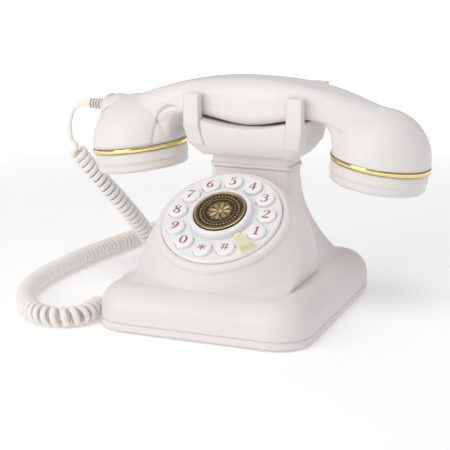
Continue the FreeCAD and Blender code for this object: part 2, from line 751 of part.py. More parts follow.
def key_spot(index):
    angle = math.radians(first_key_angle.value + index * key_step_angle.value)
    return key_circle * math.cos(angle), key_circle * math.sin(angle)


for index in range(key_count):
    x, y = key_spot(index)
    drill(dial_plate, "key_hole%d" % index, key_gap, plate_thickness * 2,
          moved(x, y, plate_under - plate_thickness / 2))
dial_plate.Placement = dial_place()

key_names = ["1", "2", "3", "4", "5", "6", "7", "8", "9", "0", "star", "hash"]
for index, name in enumerate(key_names):
    x, y = key_spot(index)
    key = turned_body("key_" + name, [
        (0, flange_under), (key_radius + key_lip, flange_under), (key_radius + key_lip, plate_under),
        (key_radius, plate_under), (key_radius, -key_lip), (key_radius - key_lip / 2, 0),
        (key_radius / 2, key_crown * 0.75), (0, key_crown)])
    key.Placement = dial_place(x, y)

collar_bore = medallion_radius + slide_fit
hub_collar = turned_body("hub_collar", [
    (collar_bore, plate_top), (collar_radius, plate_top),
    (collar_radius, plate_top + collar_height - key_lip * 2),
    (collar_radius - key_lip, plate_top + collar_height), (collar_bore, plate_top + collar_height)])
hub_collar.Placement = dial_place()
medallion_top = plate_top + collar_height + key_crown
medallion_under = medallion_top - medallion_thickness
medallion = turned_body("redial_medallion", [
    (0, flange_under), (medallion_stem + key_lip, flange_under), (medallion_stem + key_lip, plate_under),
    (medallion_stem, plate_under), (medallion_stem, medallion_under), (medallion_radius, medallion_under),
    (medallion_radius, medallion_top - key_crown), (medallion_radius - key_lip, medallion_top),
    (0, medallion_top)])
medallion.Placement = dial_place()

stop_start = collar_radius + slide_fit
stop_end = plate_radius - key_lip
finger_stop = new_body("finger_stop")
pad(finger_stop, polygon(new_sketch(finger_stop, "stop_bar", "XY_Plane"), [
    (stop_start, -stop_width / 4), (stop_end, -stop_width / 2), (stop_end, stop_width / 2),
    (stop_start, stop_width / 4)]),
    stop_thickness)
wedge = polygon(new_sketch(finger_stop, "stop_wedge", "XZ_Plane", raised(-stop_wedge / 2)), [
    (stop_end - stop_wedge * 0.7, 0), (stop_end, 0), (stop_end, stop_thickness),
    (stop_end - stop_wedge * 0.3, stop_thickness * 2.4),
    (stop_end - stop_wedge * 0.7, stop_thickness)])
pad(finger_stop, wedge, stop_wedge)
stop_angle = first_key_angle.value - (360 - (key_count - 1) * key_step_angle.value) / 2
finger_stop.Placement = FreeCAD.Placement(
    dial_place(0, 0, plate_top).Base, dial_turn.multiply(FreeCAD.Rotation(V(0, 0, 1), stop_angle)))

mat_radius = shelf_opening - slide_fit
keypad_mat = turned_body("keypad_mat", [(0, mat_top - mat_thickness), (mat_radius, mat_top - mat_thickness),
                                        (mat_radius, mat_top), (0, mat_top)])
keypad_mat.Placement = dial_place()
board_top = mat_top - mat_thickness
dial_board = turned_body("dial_board",
                         [(0, board_top - board_thickness), (mat_radius, board_top - board_thickness),
                                        (mat_radius, board_top), (0, board_top)])
dial_board.Placement = dial_place()

# Handset: a bellied handle lofted between two domes, hollow, with an inner cover let into its underside
handle_top = saddle_height + rest_gap + handle_mid_height


def section_wire(x, half, low, high):
    """Handle section in the plane X = x: a rectangle with large arcs above and smaller ones below."""
    r = handle_low_round.value * (high - low)
    R = handle_top_round.value * (high - low)
    left, right = cradle_y.value - half, cradle_y.value + half
    bend = 1 - math.sqrt(0.5)
    ring = [(left + r, low), (right - r, low), (right, low + r), (right, high - R),
            (right - R, high), (left + R, high), (left, high - R), (left, low + r)]
    middles = [(right - r * bend, low + r * bend), (right - R * bend, high - R * bend),
               (left + R * bend, high - R * bend), (left + r * bend, low + r * bend)]
    points = [V(x, y, z) for y, z in ring]
    edges = []
    for i in range(4):
        start, end = points[2 * i], points[2 * i + 1]
        edges.append(Part.LineSegment(start, end).toShape())
        edges.append(Part.Arc(end, V(x, *middles[i]), points[(2 * i + 2) % 8]).toShape())
    return Part.Wire(edges)


def crown(x):
    """Height of the handle's top line at x."""
    return handle_top.value - handle_crown.value * (x / handset_span.value) ** 2


def handle_loft(inset):
    """The handle from the right dome to the flat cord end on the left, moved inwards by inset."""
    half_span = [(1.0, handle_end_width, handle_end_height), (0.75, handle_root_width, handle_root_height),
                 (0.5, handle_waist_width, handle_waist_height),
                 (0.36, handle_belly_width, handle_belly_height)]
    span = handset_span.value
    stations = [(span * f, w.value, h.value, crown(span * f)) for f, w, h in half_span]
    stations.append((0, handle_mid_width.value, handle_mid_height.value, handle_top.value))
    stations += [(-x, w, h, top) for x, w, h, top in reversed(stations[:-1])]
    end_top = crown(span) - cord_end_drop.value
    end_x = -span - cord_end_reach.value
    end_size = [cord_end_width.value, cord_end_height.value, end_top]
    stations.append([end_x + max(inset, cord_end_round.value)] + end_size)
    wires = [section_wire(x, w / 2 - inset, top - h + inset, top - inset) for x, w, h, top in stations]
    handle = Part.makeLoft(wires, True, False)
    if inset > 0:
        return handle
    width, height, top = end_size
    trim = cord_end_round.value
    tip = section_wire(end_x, width / 2 - trim, top - height + trim, top - trim)
    return handle.fuse(Part.makeLoft([wires[-1], tip], True, True))


def arch(side, inset):
    """The inside of an end: a curve from the handle's underside down to the ring, carried across."""
    shares = [(0, 1.0), (0.42, 0.903), (0.75, 0.74), (0.935, 0.367), (1, 0)]
    low = ring_height.value + ring_width.value * 2
    curve = [V(arch_inner.value + arch_reach.value * u, 0, low + arch_drop.value * v) for u, v in shares]
    ahead = [curve[min(i + 1, 4)] - curve[max(i - 1, 0)] for i in range(5)]
    inner = [q + V(-t.z, 0, t.x).normalize() * inset for q, t in zip(curve, ahead)]
    spline = Part.BSplineCurve()
    spline.interpolate([V(side * q.x, cradle_y.value - arch_half_width.value + inset, q.z) for q in inner])
    start, end = spline.StartPoint, spline.EndPoint
    deep = V(side * (handset_span.value - dome_radius.value / 2), end.y, end.z)
    high = V(deep.x, end.y, start.z + handset_wall.value)
    over = V(start.x, end.y, high.z)
    corners = [end, deep, high, over, start]
    edges = [spline.toShape()] + [Part.LineSegment(a, b).toShape() for a, b in zip(corners, corners[1:])]
    solid = Part.Face(Part.Wire(edges)).extrude(V(0, 2 * (arch_half_width.value - inset), 0))
    rims = [e for e in solid.Edges
            if e.BoundBox.YLength < 1e-6 and e.BoundBox.XLength > 1 and e.BoundBox.ZLength > 1]
    return solid.makeFillet(arch_round.value - inset, rims)


def cap_place(side):
    """Frame of an end cap: local Z up the cap's axis, origin in the middle of its ring."""
    return FreeCAD.Placement(V(side * handset_span.value, cradle_y.value, ring_height.value),
                             FreeCAD.Rotation(V(0, 1, 0), side * cap_tilt.value))


def dome(side, inset):
    """A quarter ellipse turned about the cap's axis."""
    foot = ring_width.value / 2
    radius = dome_radius.value - inset
    top = dome_height.value - inset
    curve = Part.BezierCurve()
    curve.setPoles([V(radius, 0, foot), V(radius, 0, top), V(0, 0, top)])
    curve.setWeight(2, math.sqrt(0.5))
    start = foot - inset
    corners = [V(0, 0, top), V(0, 0, start), V(radius, 0, start), V(radius, 0, foot)]
    edges = [Part.LineSegment(a, b).toShape() for a, b in zip(corners, corners[1:]) if (b - a).Length > 1e-6]
    profile = Part.Face(Part.Wire(edges + [curve.toShape()]))
    solid = profile.revolve(V(0, 0, 0), V(0, 0, 1), 360)
    solid.Placement = cap_place(side)
    return solid


def handset_form(inset):
    return handle_loft(inset).fuse([dome(-1, inset), dome(1, inset), arch(-1, inset), arch(1, inset)])


cover_top = (saddle_height + rest_gap + cover_rise).value
cover_low = ring_height.value - dome_radius.value / 4
cover_corners = [V(x, 0, z) for x, z in (
    (-cover_foot.value, cover_low), (-cover_shoulder.value, cover_top), (cover_shoulder.value, cover_top),
    (cover_foot.value, cover_low), (-cover_foot.value, cover_low))]
cover_depth = 2 * cradle_y.value + dome_radius.value
cover_region = Part.Face(Part.makePolygon(cover_corners)).extrude(V(0, cover_depth, 0))
cover_region.translate(V(0, -dome_radius.value, 0))
cover_ridges = [e for e in cover_region.Edges
                if abs(e.BoundBox.ZMin - cover_top) < 1e-6 and e.BoundBox.XLength < 1e-6]
cover_region = cover_region.makeFillet(cover_round.value, cover_ridges)
handset_shell = handset_form(0).cut(handset_form(handset_wall.value))


def shaped(label, shape):
    """A sub-part whose form is worked out directly from the sheet's sizes."""
    feature = doc.addObject("Part::Feature", label)
    feature.Shape = shape
    return keep(feature, label)


shaped("handset_outer_shell", handset_shell.cut(cover_region))
shaped("handset_inner_cover", handset_shell.common(cover_region))

# End pieces of the handset: gilt ring, stepped cap with sound holes, and what each cap holds
ring_half = ring_width / 2
cap_low = -ring_half - cap_height
cap_radius = dome_radius - cap_step / 2
cap_inner = cap_radius - cap_step - handset_wall
for side, name in ((1, "ear"), (-1, "mouth")):
    ring = turned_body(name + "_ring", [
        (dome_radius - handset_wall, -ring_half), (dome_radius, -ring_half),
        (dome_radius + ring_proud * 0.75, -ring_half * 0.6), (dome_radius + ring_proud, 0),
        (dome_radius + ring_proud * 0.75, ring_half * 0.6), (dome_radius, ring_half),
        (dome_radius - handset_wall, ring_half)])
    ring.Placement = cap_place(side)
    cap = turned_body(name + "_cap", [
        (cap_inner, -ring_half), (cap_radius, -ring_half), (cap_radius, -ring_half - cap_band),
        (cap_radius - cap_step, -ring_half - cap_band - cap_step),
        (cap_radius - cap_step, cap_low + cap_chamfer),
        (cap_radius - cap_step - cap_chamfer, cap_low), (0, cap_low), (0, cap_low + handset_wall),
        (cap_inner, cap_low + handset_wall)])
    holes = [(0, 0)] + [(cap_hole_circle * math.cos(k * math.pi / 3),
                         cap_hole_circle * math.sin(k * math.pi / 3))
                        for k in range(6)]
    for k, (x, y) in enumerate(holes):
        drill(cap, "%s_hole%d" % (name, k), cap_hole_radius, handset_wall * 2,
              moved(x, y, cap_low - handset_wall / 2))
    cap.Placement = cap_place(side)
    held = "receiver_capsule" if side > 0 else "microphone"
    held_radius = receiver_radius if side > 0 else microphone_radius
    held_height = receiver_height if side > 0 else microphone_height
    held_low = cap_low + handset_wall
    turned_body(held, [(0, held_low), (held_radius, held_low), (held_radius, held_low + held_height),
                       (0, held_low + held_height)]).Placement = cap_place(side)
weight_corner = V(-weight_length.value / 2, (cradle_y - weight_width / 2).value,
                  (saddle_height + rest_gap + handset_wall / 2).value)
weight_block = Part.makeBox(weight_length.value, weight_width.value, weight_height.value, weight_corner)
shaped("handset_weight", weight_block.cut(handset_shell))

# Strain relief: a ribbed sleeve on the flat cord end
relief_x = -handset_span - cord_end_reach
relief_z = size(crown(handset_span.value)) - cord_end_drop - relief_sink
rib_pitch = relief_length / relief_ribs
relief_profile = [(0, 0)]
for rib in range(relief_ribs):
    rib_radius = relief_radius - (relief_radius - relief_neck) * (0.6 * rib / relief_ribs)
    low = rib_pitch * rib
    relief_profile += [(rib_radius, low), (rib_radius, low + rib_pitch * 0.6),
                       (relief_neck, low + rib_pitch * 0.6),
                       (relief_neck, low + rib_pitch)]
relief_profile.append((0, relief_length))
strain_relief = turned_body("strain_relief", relief_profile)
strain_relief.Placement = FreeCAD.Placement(V(relief_x.value, cradle_y.value, relief_z.value),
                                            FreeCAD.Rotation(V(0, 1, 0), -90))

# Modular plug seated against the end of its socket
plug_end = jack_recess + plug_seat - half_width
plug = block_body("cord_plug", plug_length, plug_width, plug_height)
plug.Placement = moved(plug_end - plug_length / 2, handset_jack_y, jack_height - plug_height / 2)

# Curly cord: a lead out of the relief, curls to the floor and round to the left side, a lead to the plug
lead_out = V((relief_x - relief_length).value, cradle_y.value, relief_z.value)
lead_in = V((plug_end - plug_length).value, handset_jack_y.value, jack_height.value)
cord_route = [
    lead_out, V(-123.5, lead_out.y, lead_out.z),
    V(-129.6, 29.2, 111.4), V(-132.6, 29.8, 102), V(-133, 31.5, 91),
    V(-129, 36, 78), V(-121.5, 48, 57), V(-114, 62, 36), V(-108, 77, 18.5), V(-103, 92, 9),
    V(-95, 108, 6.9), V(-93, 124, 6.7), V(-100.5, 138, 6.7), V(-116, 138, 6.7), V(-124.5, 124, 6.7),
    V(-127, 100, 6.7), V(-131, 71, 6.7), V(-136, 38, 6.7), V(-137, 6, 6.7), V(-134.5, -21, 6.7),
    V(-126, -45, 6.7), V(-113, -64, 6.7), V(-98, -75, 6.7), V(-84, -74.5, 6.7), V(-76, -64, 6.7),
    V(-75.5, -50, 6.7), V(-75.5, -38, 5), V(-74, -26, 3.4), V(-76, -12, 5), V(-81, 0, 9),
    V(-77.5, lead_in.y, lead_in.z), lead_in]
curl_first, fold_first, strand_first, bend_first, open_first, curl_last = 4, 9, 14, 19, 22, 26
curl_pitches = [(curl_first, 3.6), (fold_first, 7.2), (strand_first, 3.85), (bend_first, 4.9),
                (open_first, 6.3)]
curl_ramp = 11.0
lead_pitch = 16.0


def rounded_route(points):
    """Straight runs joined by tangent arcs as large as the runs allow: (length, place at a share) pieces."""
    pieces = []
    start = points[0]
    for i in range(1, len(points) - 1):
        before = (points[i] - points[i - 1]).normalize()
        after = (points[i + 1] - points[i]).normalize()
        runs = min((points[i] - points[i - 1]).Length, (points[i + 1] - points[i]).Length)
        half = before.getAngle(after) / 2
        radius = 0.45 * runs / math.tan(half)
        bend_radii.append(radius)
        entry = points[i] - before * (0.45 * runs)
        leave = points[i] + after * (0.45 * runs)
        axis = before.cross(after).normalize()
        centre = entry + axis.cross(before) * radius
        pieces.append(("line", (entry - start).Length, start, entry))
        pieces.append(("arc", 2 * half * radius, centre, entry - centre, axis, 2 * half))
        start = leave
    pieces.append(("line", (points[-1] - start).Length, start, points[-1]))
    return pieces


def piece_point(piece, share):
    """Point of a run or an arc at a share of its length."""
    if piece[0] == "line":
        return piece[2] + (piece[3] - piece[2]) * share
    turned = FreeCAD.Rotation(piece[4], math.degrees(piece[5] * share)).multVec(piece[3])
    return piece[2] + turned


bend_radii = []
route_pieces = rounded_route(cord_route)
step_length = 0.1
axis_points = []
marks = [0.0]
for piece in route_pieces:
    count = max(2, int(piece[1] / step_length))
    axis_points += [piece_point(piece, k / float(count)) for k in range(count)]
    marks.append(marks[-1] + piece[1])
axis_points.append(cord_route[-1])
lengths = [0.0]
for a, b in zip(axis_points, axis_points[1:]):
    lengths.append(lengths[-1] + (b - a).Length)


def length_near(point):
    """Length along the axis where it passes closest to a point of the route."""
    return min(zip([(p - point).Length for p in axis_points], lengths))[1]


changes = [(length_near(cord_route[i]), pitch) for i, pitch in curl_pitches]
curl_start = changes[0][0]
curl_end = length_near(cord_route[curl_last])


def pitch_at(s):
    """Length of one curl: long while the curls open and close, else as its stretch says."""
    if s < curl_start + curl_ramp or s > curl_end - curl_ramp:
        return lead_pitch
    return [pitch for start, pitch in changes if start <= s][-1]


def swell(s):
    """Radius of the curls: nothing on the leads, eased in and out over the ramps."""
    share = min((s - curl_start) / curl_ramp, (curl_end - s) / curl_ramp, 1.0)
    share = max(share, 0.0)
    return curl_radius.value * share * share * (3 - 2 * share)


# A frame that rolls along the axis without twisting, and the angle wound so far
sides = []
phases = [0.0]
side = V(0, 1, 0)
for i in range(len(axis_points)):
    ahead = axis_points[min(i + 1, len(axis_points) - 1)]
    behind = axis_points[max(i - 1, 0)]
    tangent = (ahead - behind).normalize()
    side = (side - tangent * side.dot(tangent)).normalize()
    sides.append((side, tangent.cross(side)))
    if i:
        inside = curl_start < lengths[i] < curl_end
        turns = (lengths[i] - lengths[i - 1]) / pitch_at(lengths[i]) if inside else 0.0
        phases.append(phases[-1] + 2 * math.pi * turns)


def wire_point(i):
    """Centre of the wire beside sample i of the axis."""
    across, over = sides[i]
    reach = swell(lengths[i])
    return axis_points[i] + across * (reach * math.cos(phases[i])) + over * (reach * math.sin(phases[i]))


wire_points = [wire_point(i) for i in range(len(axis_points))]
knots = []
quarter_turn = 0
next_mark = 0
for i, s in enumerate(lengths):
    on_lead = s < curl_start or s > curl_end
    passed = False
    while next_mark < len(marks) and marks[next_mark] <= s + 1e-6:
        next_mark += 1
        passed = on_lead
    if int(phases[i] / (math.pi / 2)) > quarter_turn:
        quarter_turn += 1
        passed = True
    if passed or i == len(lengths) - 1:
        knots.append(i)


def wire_tangent(i):
    if i == 0 or i == len(wire_points) - 1:
        ends = (0, 1) if i == 0 else (i - 1, i)
        return (wire_points[ends[1]] - wire_points[ends[0]]).normalize()
    return (wire_points[i + 1] - wire_points[i - 1]).normalize()


def arc_edge(start, tangent, end):
    """The arc that leaves start along tangent and ends at end, or the line where they are in line."""
    chord = end - start
    half = tangent.getAngle(chord)
    if half < 1e-5:
        return Part.LineSegment(start, end).toShape()
    middle = start + (tangent + V(chord).normalize()).normalize() * (chord.Length / (2 * math.cos(half / 2)))
    return Part.Arc(start, middle, end).toShape()


def biarc(p0, t0, p1, t1):
    """Two arcs that share a tangent where they meet."""
    chord = p1 - p0
    total = t0 + t1
    spread = 2 * (1 - t0.dot(t1))
    along = chord.dot(total)
    if spread < 1e-9:
        reach = chord.dot(chord) / (2 * along)
    else:
        reach = (-along + math.sqrt(along * along + spread * chord.dot(chord))) / spread
    meet = (p0 + p1 + (t0 - t1) * reach) * 0.5
    first = arc_edge(p0, t0, meet)
    second = arc_edge(p1, t1 * -1, meet)
    return [first, second]


edges = []
for a, b in zip(knots, knots[1:]):
    edges += biarc(wire_points[a], wire_tangent(a), wire_points[b], wire_tangent(b))
cord_wire = Part.Wire(Part.__sortEdges__(edges))
cord_section = Part.Wire(Part.makeCircle(wire_diameter.value / 2, wire_points[0], wire_tangent(0)))
curly_cord = shaped("curly_cord", cord_wire.makePipeShell([cord_section], True, False))
cord_length = sum(e.Length for e in edges)
cord_volume = math.pi * wire_diameter.value ** 2 / 4 * cord_length
print("cord: %d edges, %.0f curls, %.0f mm of wire, volume ratio %.4f" % (
    len(edges), phases[-1] / (2 * math.pi), cord_length, curly_cord.Shape.Volume / cord_volume))
print("route radii:", " ".join("%.1f" % r for r in bend_radii))


def least_gap(points, spacing, clear):
    """Least gap of the wire to itself, between points more than clear apart along it."""
    cells = {}
    travelled = [0.0]
    for a, b in zip(points, points[1:]):
        travelled.append(travelled[-1] + (b - a).Length)
    least = spacing
    for i, p in enumerate(points):
        cell = (int(p.x // spacing), int(p.y // spacing), int(p.z // spacing))
        for dx in (-1, 0, 1):
            for dy in (-1, 0, 1):
                for dz in (-1, 0, 1):
                    for j in cells.get((cell[0] + dx, cell[1] + dy, cell[2] + dz), ()):
                        if travelled[i] - travelled[j] > clear:
                            least = min(least, (p - points[j]).Length)
        cells.setdefault(cell, []).append(i)
    return least - wire_diameter.value


print("least gap of the cord to itself: %.2f mm" % least_gap(wire_points, 8.0, math.pi * curl_radius.value))

# Check and write every sub-part
doc.recompute()
for obj in doc.Objects:
    if "Invalid" in obj.State or "Error" in obj.State:
        raise RuntimeError("%s did not build" % obj.Label)
os.makedirs("parts", exist_ok=True)
for obj in parts:
    shape = obj.Shape
    if shape.isNull() or not shape.isValid():
        raise RuntimeError("%s has no valid shape" % obj.Label)
    shape.exportStep("parts/%s.step" % obj.Label)
    print("%s: %d solid, %.0f mm3" % (obj.Label, len(shape.Solids), shape.Volume))
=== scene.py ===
# %% [markdown]
# # A white desk telephone with a curly cord
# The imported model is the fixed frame: every moulding, key and screw is already in its place, in metres.
# This lesson dresses it. The mouldings keep their solids and get finishes; the pieces whose fine shape
# matters (the curled cord, the domed keys, the digits, the medallion, the gilt rings) are worked out
# again as surfaces with numpy and put where the solids are. Two low fairings on the handset are added.

# %% Load the frame
import math
import bpy
import bmesh
import numpy as np
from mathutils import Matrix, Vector


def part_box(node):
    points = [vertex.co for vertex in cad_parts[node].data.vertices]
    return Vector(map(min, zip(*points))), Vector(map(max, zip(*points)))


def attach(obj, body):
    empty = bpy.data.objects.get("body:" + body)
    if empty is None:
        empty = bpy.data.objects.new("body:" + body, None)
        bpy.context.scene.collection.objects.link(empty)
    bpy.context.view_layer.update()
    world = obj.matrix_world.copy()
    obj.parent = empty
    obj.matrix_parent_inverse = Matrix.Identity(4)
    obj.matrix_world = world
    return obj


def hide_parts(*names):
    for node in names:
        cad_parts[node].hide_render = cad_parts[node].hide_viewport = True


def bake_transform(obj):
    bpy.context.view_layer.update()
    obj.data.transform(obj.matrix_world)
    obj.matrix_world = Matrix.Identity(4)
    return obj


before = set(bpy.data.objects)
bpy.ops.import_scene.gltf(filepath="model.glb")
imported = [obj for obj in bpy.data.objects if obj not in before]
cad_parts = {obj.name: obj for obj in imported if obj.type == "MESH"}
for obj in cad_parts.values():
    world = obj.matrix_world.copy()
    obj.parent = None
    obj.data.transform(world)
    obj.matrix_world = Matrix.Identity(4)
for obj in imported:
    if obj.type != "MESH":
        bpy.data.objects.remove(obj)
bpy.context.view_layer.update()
MM = 0.001

# %% [markdown]
# ## Camera
# The photograph was taken from a little to the right and a little above, with a long lens. The
# camera's place was found by fitting the phone's own edges, rings and keys to the picture.

# %% Camera
camera_data = bpy.data.cameras.new("studio_camera")
camera_data.sensor_width = 36.0
camera_data.lens = 105.39
camera_data.clip_end = 60.0
camera = bpy.data.objects.new("studio_camera", camera_data)
bpy.context.collection.objects.link(camera)
camera.location = Vector((280.2, -733.2, 248.1)) * MM
aim = Vector((-9.8, 0.0, 50.8)) * MM
camera.rotation_euler = (aim - camera.location).to_track_quat("-Z", "Y").to_euler()
bpy.context.scene.camera = camera
print("camera", round((aim - camera.location).length, 4), "m from its aim")

# %% [markdown]
# ## Floor and light
# A white product picture needs a bright floor and very soft light. One wide panel stands in front,
# to the left, and does the shaping; one above fills the front, a faint one on the right keeps the
# shaded side open, and a fourth lights the tops from behind. The sky lights the phone as an even pale
# grey, and the camera sees it as white.

# %% Floor and lights
def studio_floor(half=9.0):
    """A square sheet at height zero: x = u * half, y = v * half for u and v of plus or minus one."""
    mesh = bpy.data.meshes.new("floor")
    corners = [(-half, -half, 0), (half, -half, 0), (half, half, 0), (-half, half, 0)]
    mesh.from_pydata(corners, [], [(0, 1, 2, 3)])
    sheet = bpy.data.objects.new("floor", mesh)
    bpy.context.collection.objects.link(sheet)
    return sheet


def soft_panel(name, place, aim_at, size, watts, tint):
    """A square area light of that size, at that place, that looks at a point."""
    light = bpy.data.lights.new(name, "AREA")
    light.shape = "SQUARE"
    light.size = size
    light.energy = watts
    light.color = tint
    lamp = bpy.data.objects.new(name, light)
    bpy.context.collection.objects.link(lamp)
    lamp.location = place
    lamp.rotation_euler = (Vector(aim_at) - Vector(place)).to_track_quat("-Z", "Y").to_euler()
    return lamp


floor = studio_floor()
middle = (0.0, 0.0, 0.07)
soft_panel("panel_front", (-0.69, -1.18, 0.66), middle, 1.0, 7.6, (1.0, 0.985, 0.97))
soft_panel("panel_above", (0.05, -0.45, 1.45), middle, 0.9, 5.8, (1.0, 0.99, 0.98))
soft_panel("panel_right", (1.25, -0.35, 0.75), middle, 0.9, 0.5, (0.95, 0.95, 1.0))
soft_panel("panel_back", (0.15, 1.05, 1.35), middle, 0.9, 2.0, (1.0, 1.0, 1.0))
sky_light, sky_seen = 0.46, 1.04
world = bpy.data.worlds.new("studio")
world.use_nodes = True
sky = world.node_tree.nodes["Background"]
sky.inputs["Color"].default_value = (0.95, 0.95, 0.96, 1)
ray = world.node_tree.nodes.new("ShaderNodeLightPath")
strength = world.node_tree.nodes.new("ShaderNodeMapRange")
strength.inputs["To Min"].default_value = sky_light
strength.inputs["To Max"].default_value = sky_seen
world.node_tree.links.new(ray.outputs["Is Camera Ray"], strength.inputs["Value"])
world.node_tree.links.new(strength.outputs["Result"], sky.inputs["Strength"])
bpy.context.scene.world = world
bpy.context.scene.view_settings.view_transform = "Standard"

# %% [markdown]
# ## Shader maths as Python
# A finish is a small sum: a noise times a little, added to a colour. Wrapping a socket in a class lets
# the sum be written as one, and each sign adds a Math node.

# %% Socket class and finish class
class Wire:
    """One output socket of a finish. Arithmetic on it adds Math nodes."""

    def __init__(self, finish, socket):
        self.finish = finish
        self.socket = socket

    def maths(self, operation, first, second=0.0):
        return self.finish.node("ShaderNodeMath", {"operation": operation}, {0: first, 1: second})

    def __add__(self, other):
        return self.maths("ADD", self, other)

    def __radd__(self, other):
        return self.maths("ADD", other, self)

    def __sub__(self, other):
        return self.maths("SUBTRACT", self, other)

    def __rsub__(self, other):
        return self.maths("SUBTRACT", other, self)

    def __mul__(self, other):
        return self.maths("MULTIPLY", self, other)

    def within(self, low, high):
        """0 below low, 1 above high, and a smooth rise between them."""
        return self.finish.node("ShaderNodeMapRange", {"interpolation_type": "SMOOTHSTEP"},
                                {"Value": self, "From Min": low, "From Max": high})


class Finish:
    """A material with one Principled shader, and one method for every other node."""

    def __init__(self, name, color, roughness, **constants):
        self.material = bpy.data.materials.new(name)
        self.material.use_nodes = True
        self.tree = self.material.node_tree
        self.shader = self.tree.nodes["Principled BSDF"]
        self.material.diffuse_color = (*color, 1)
        self.put("Base Color", (*color, 1))
        self.put("Roughness", roughness)
        for key, value in constants.items():
            self.put(key.replace("_", " "), value)

    def node(self, kind, settings=None, inputs=None, out=0):
        """Adds a node with those settings and inputs, each a constant or a Wire, and returns one output."""
        made = self.tree.nodes.new(kind)
        for key, value in (settings or {}).items():
            setattr(made, key, value)
        for key, value in (inputs or {}).items():
            if isinstance(value, Wire):
                self.tree.links.new(value.socket, made.inputs[key])
            else:
                made.inputs[key].default_value = value
        return Wire(self, made.outputs[out])

    def put(self, key, value):
        """Sets one input of the Principled shader to a constant or a Wire."""
        if isinstance(value, Wire):
            self.tree.links.new(value.socket, self.shader.inputs[key])
        else:
            self.shader.inputs[key].default_value = value

    def place(self):
        return self.node("ShaderNodeTexCoord", out="Object")

    def noise(self, scale, detail=3.0):
        return self.node("ShaderNodeTexNoise", None, {
            "Vector": self.place(), "Scale": scale, "Detail": detail, "Roughness": 0.55})

    def blend(self, mask, first, second):
        return self.node("ShaderNodeMix", {"data_type": "RGBA"}, {0: mask, 6: first, 7: second}, out=2)

    def bump(self, height, distance, eased=None):
        """Bump from a height; eased is the radius, in metres, that edges are rounded by in the shading."""
        inputs = {"Height": height, "Distance": distance}
        if eased is not None:
            inputs["Normal"] = self.node("ShaderNodeBevel", {"samples": 8}, {"Radius": eased})
        self.put("Normal", self.node("ShaderNodeBump", None, inputs))


def paint(finish, *names):
    """Gives a finish to CAD nodes by name."""
    for name in names:
        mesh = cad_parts[name].data
        mesh.materials.clear()
        mesh.materials.append(finish.material)


print("shader helpers ready")

# %% [markdown]
# ## Moulded plastic
# The body is warm white ABS with the faint tooth that a spark-eroded mould leaves. Two noises do it:
# a slow one drifts the colour and the gloss by a little, and a fast one, a third of a millimetre
# across, makes the tooth. Moulded edges are never quite sharp, so a Bevel node rounds those of the
# case and of parts of the handset in the shading.

# %% White mouldings
def moulded(name, color, shade, roughness, tooth, coat=0.0, eased=None):
    """Plastic: colour = mix of two tones by a slow noise, roughness = base + drift, bump = fine noise. Where
    eased is given, it is a function of the finish that gives the edge radius."""
    made = Finish(name, color, roughness)
    drift = made.noise(38.0, 4.0)
    made.put("Base Color", made.blend(drift.within(0.3, 0.75), (*color, 1), (*shade, 1)))
    made.put("Roughness", roughness - 0.06 + drift * 0.12)
    made.put("Specular IOR Level", 0.45)
    made.put("Coat Weight", coat)
    made.bump(made.noise(2600.0, 2.0), tooth, eased and eased(made))
    return made


case_edge, handset_edge = 2.2 * MM, 4.5 * MM


def even_ease(made):
    """One edge radius all over."""
    return case_edge


def handset_ease(made):
    """Edge radius on the right bell's outer side, where 0.6 x + 0.8 z is large, and left of x = -52 mm,
    fading in over some millimetres; 0 elsewhere, so that the cover's right-hand seam stays as it is."""
    x, z = (made.node("ShaderNodeSeparateXYZ", None, {"Vector": made.place()}, out=axis) for axis in "XZ")
    outer = (x * 0.6 + z * 0.8).within(0.127, 0.137)
    cord_side = (x * -1.0).within(0.044, 0.052)
    return outer.maths("MAXIMUM", outer, cord_side) * handset_edge


warm_white = (0.815, 0.778, 0.76), (0.795, 0.757, 0.74)
white_shell = moulded("warm_white_abs", *warm_white, 0.42, 0.000012, eased=even_ease)
white_handset = moulded("handset_white_abs", *warm_white, 0.42, 0.000012, eased=handset_ease)
white_gloss = moulded("gloss_white_abs", (0.86, 0.852, 0.856), (0.845, 0.837, 0.842), 0.2, 0.000003, 0.3)
white_key = moulded("key_white_abs", (0.885, 0.875, 0.88), (0.87, 0.86, 0.865), 0.24, 0.000003, 0.2)
white_small = moulded("socket_white_abs", (0.82, 0.795, 0.78), (0.79, 0.765, 0.75), 0.45, 0.00001)
paint(white_shell, "upper_housing", "base_plate", "cradle", "ear_cap", "mouth_cap")
paint(white_handset, "handset_outer_shell", "handset_inner_cover")
paint(white_gloss, "dial_plate")
paint(white_small, "hook_plunger", "handset_jack", "line_jack")
print("mouldings painted")

# %% [markdown]
# ## Gilt, bronze, rubber and the hidden pieces
# The rings are bright plated gilt: a metal with a low, slightly uneven roughness. The finger stop is
# paler and softer. The pieces inside the case are seen only through the sockets and the sound holes.

# %% Metals and dark pieces
def plated(name, color, shade, roughness, grain, metal=1.0):
    """Metal: colour and roughness drift with a slow noise, and a fine noise leaves polishing marks."""
    made = Finish(name, color, roughness, Metallic=metal)
    drift = made.noise(120.0, 3.0)
    made.put("Base Color", made.blend(drift.within(0.35, 0.7), (*color, 1), (*shade, 1)))
    made.put("Roughness", roughness - 0.03 + drift * 0.08)
    made.bump(made.noise(3200.0, 2.0), grain)
    return made


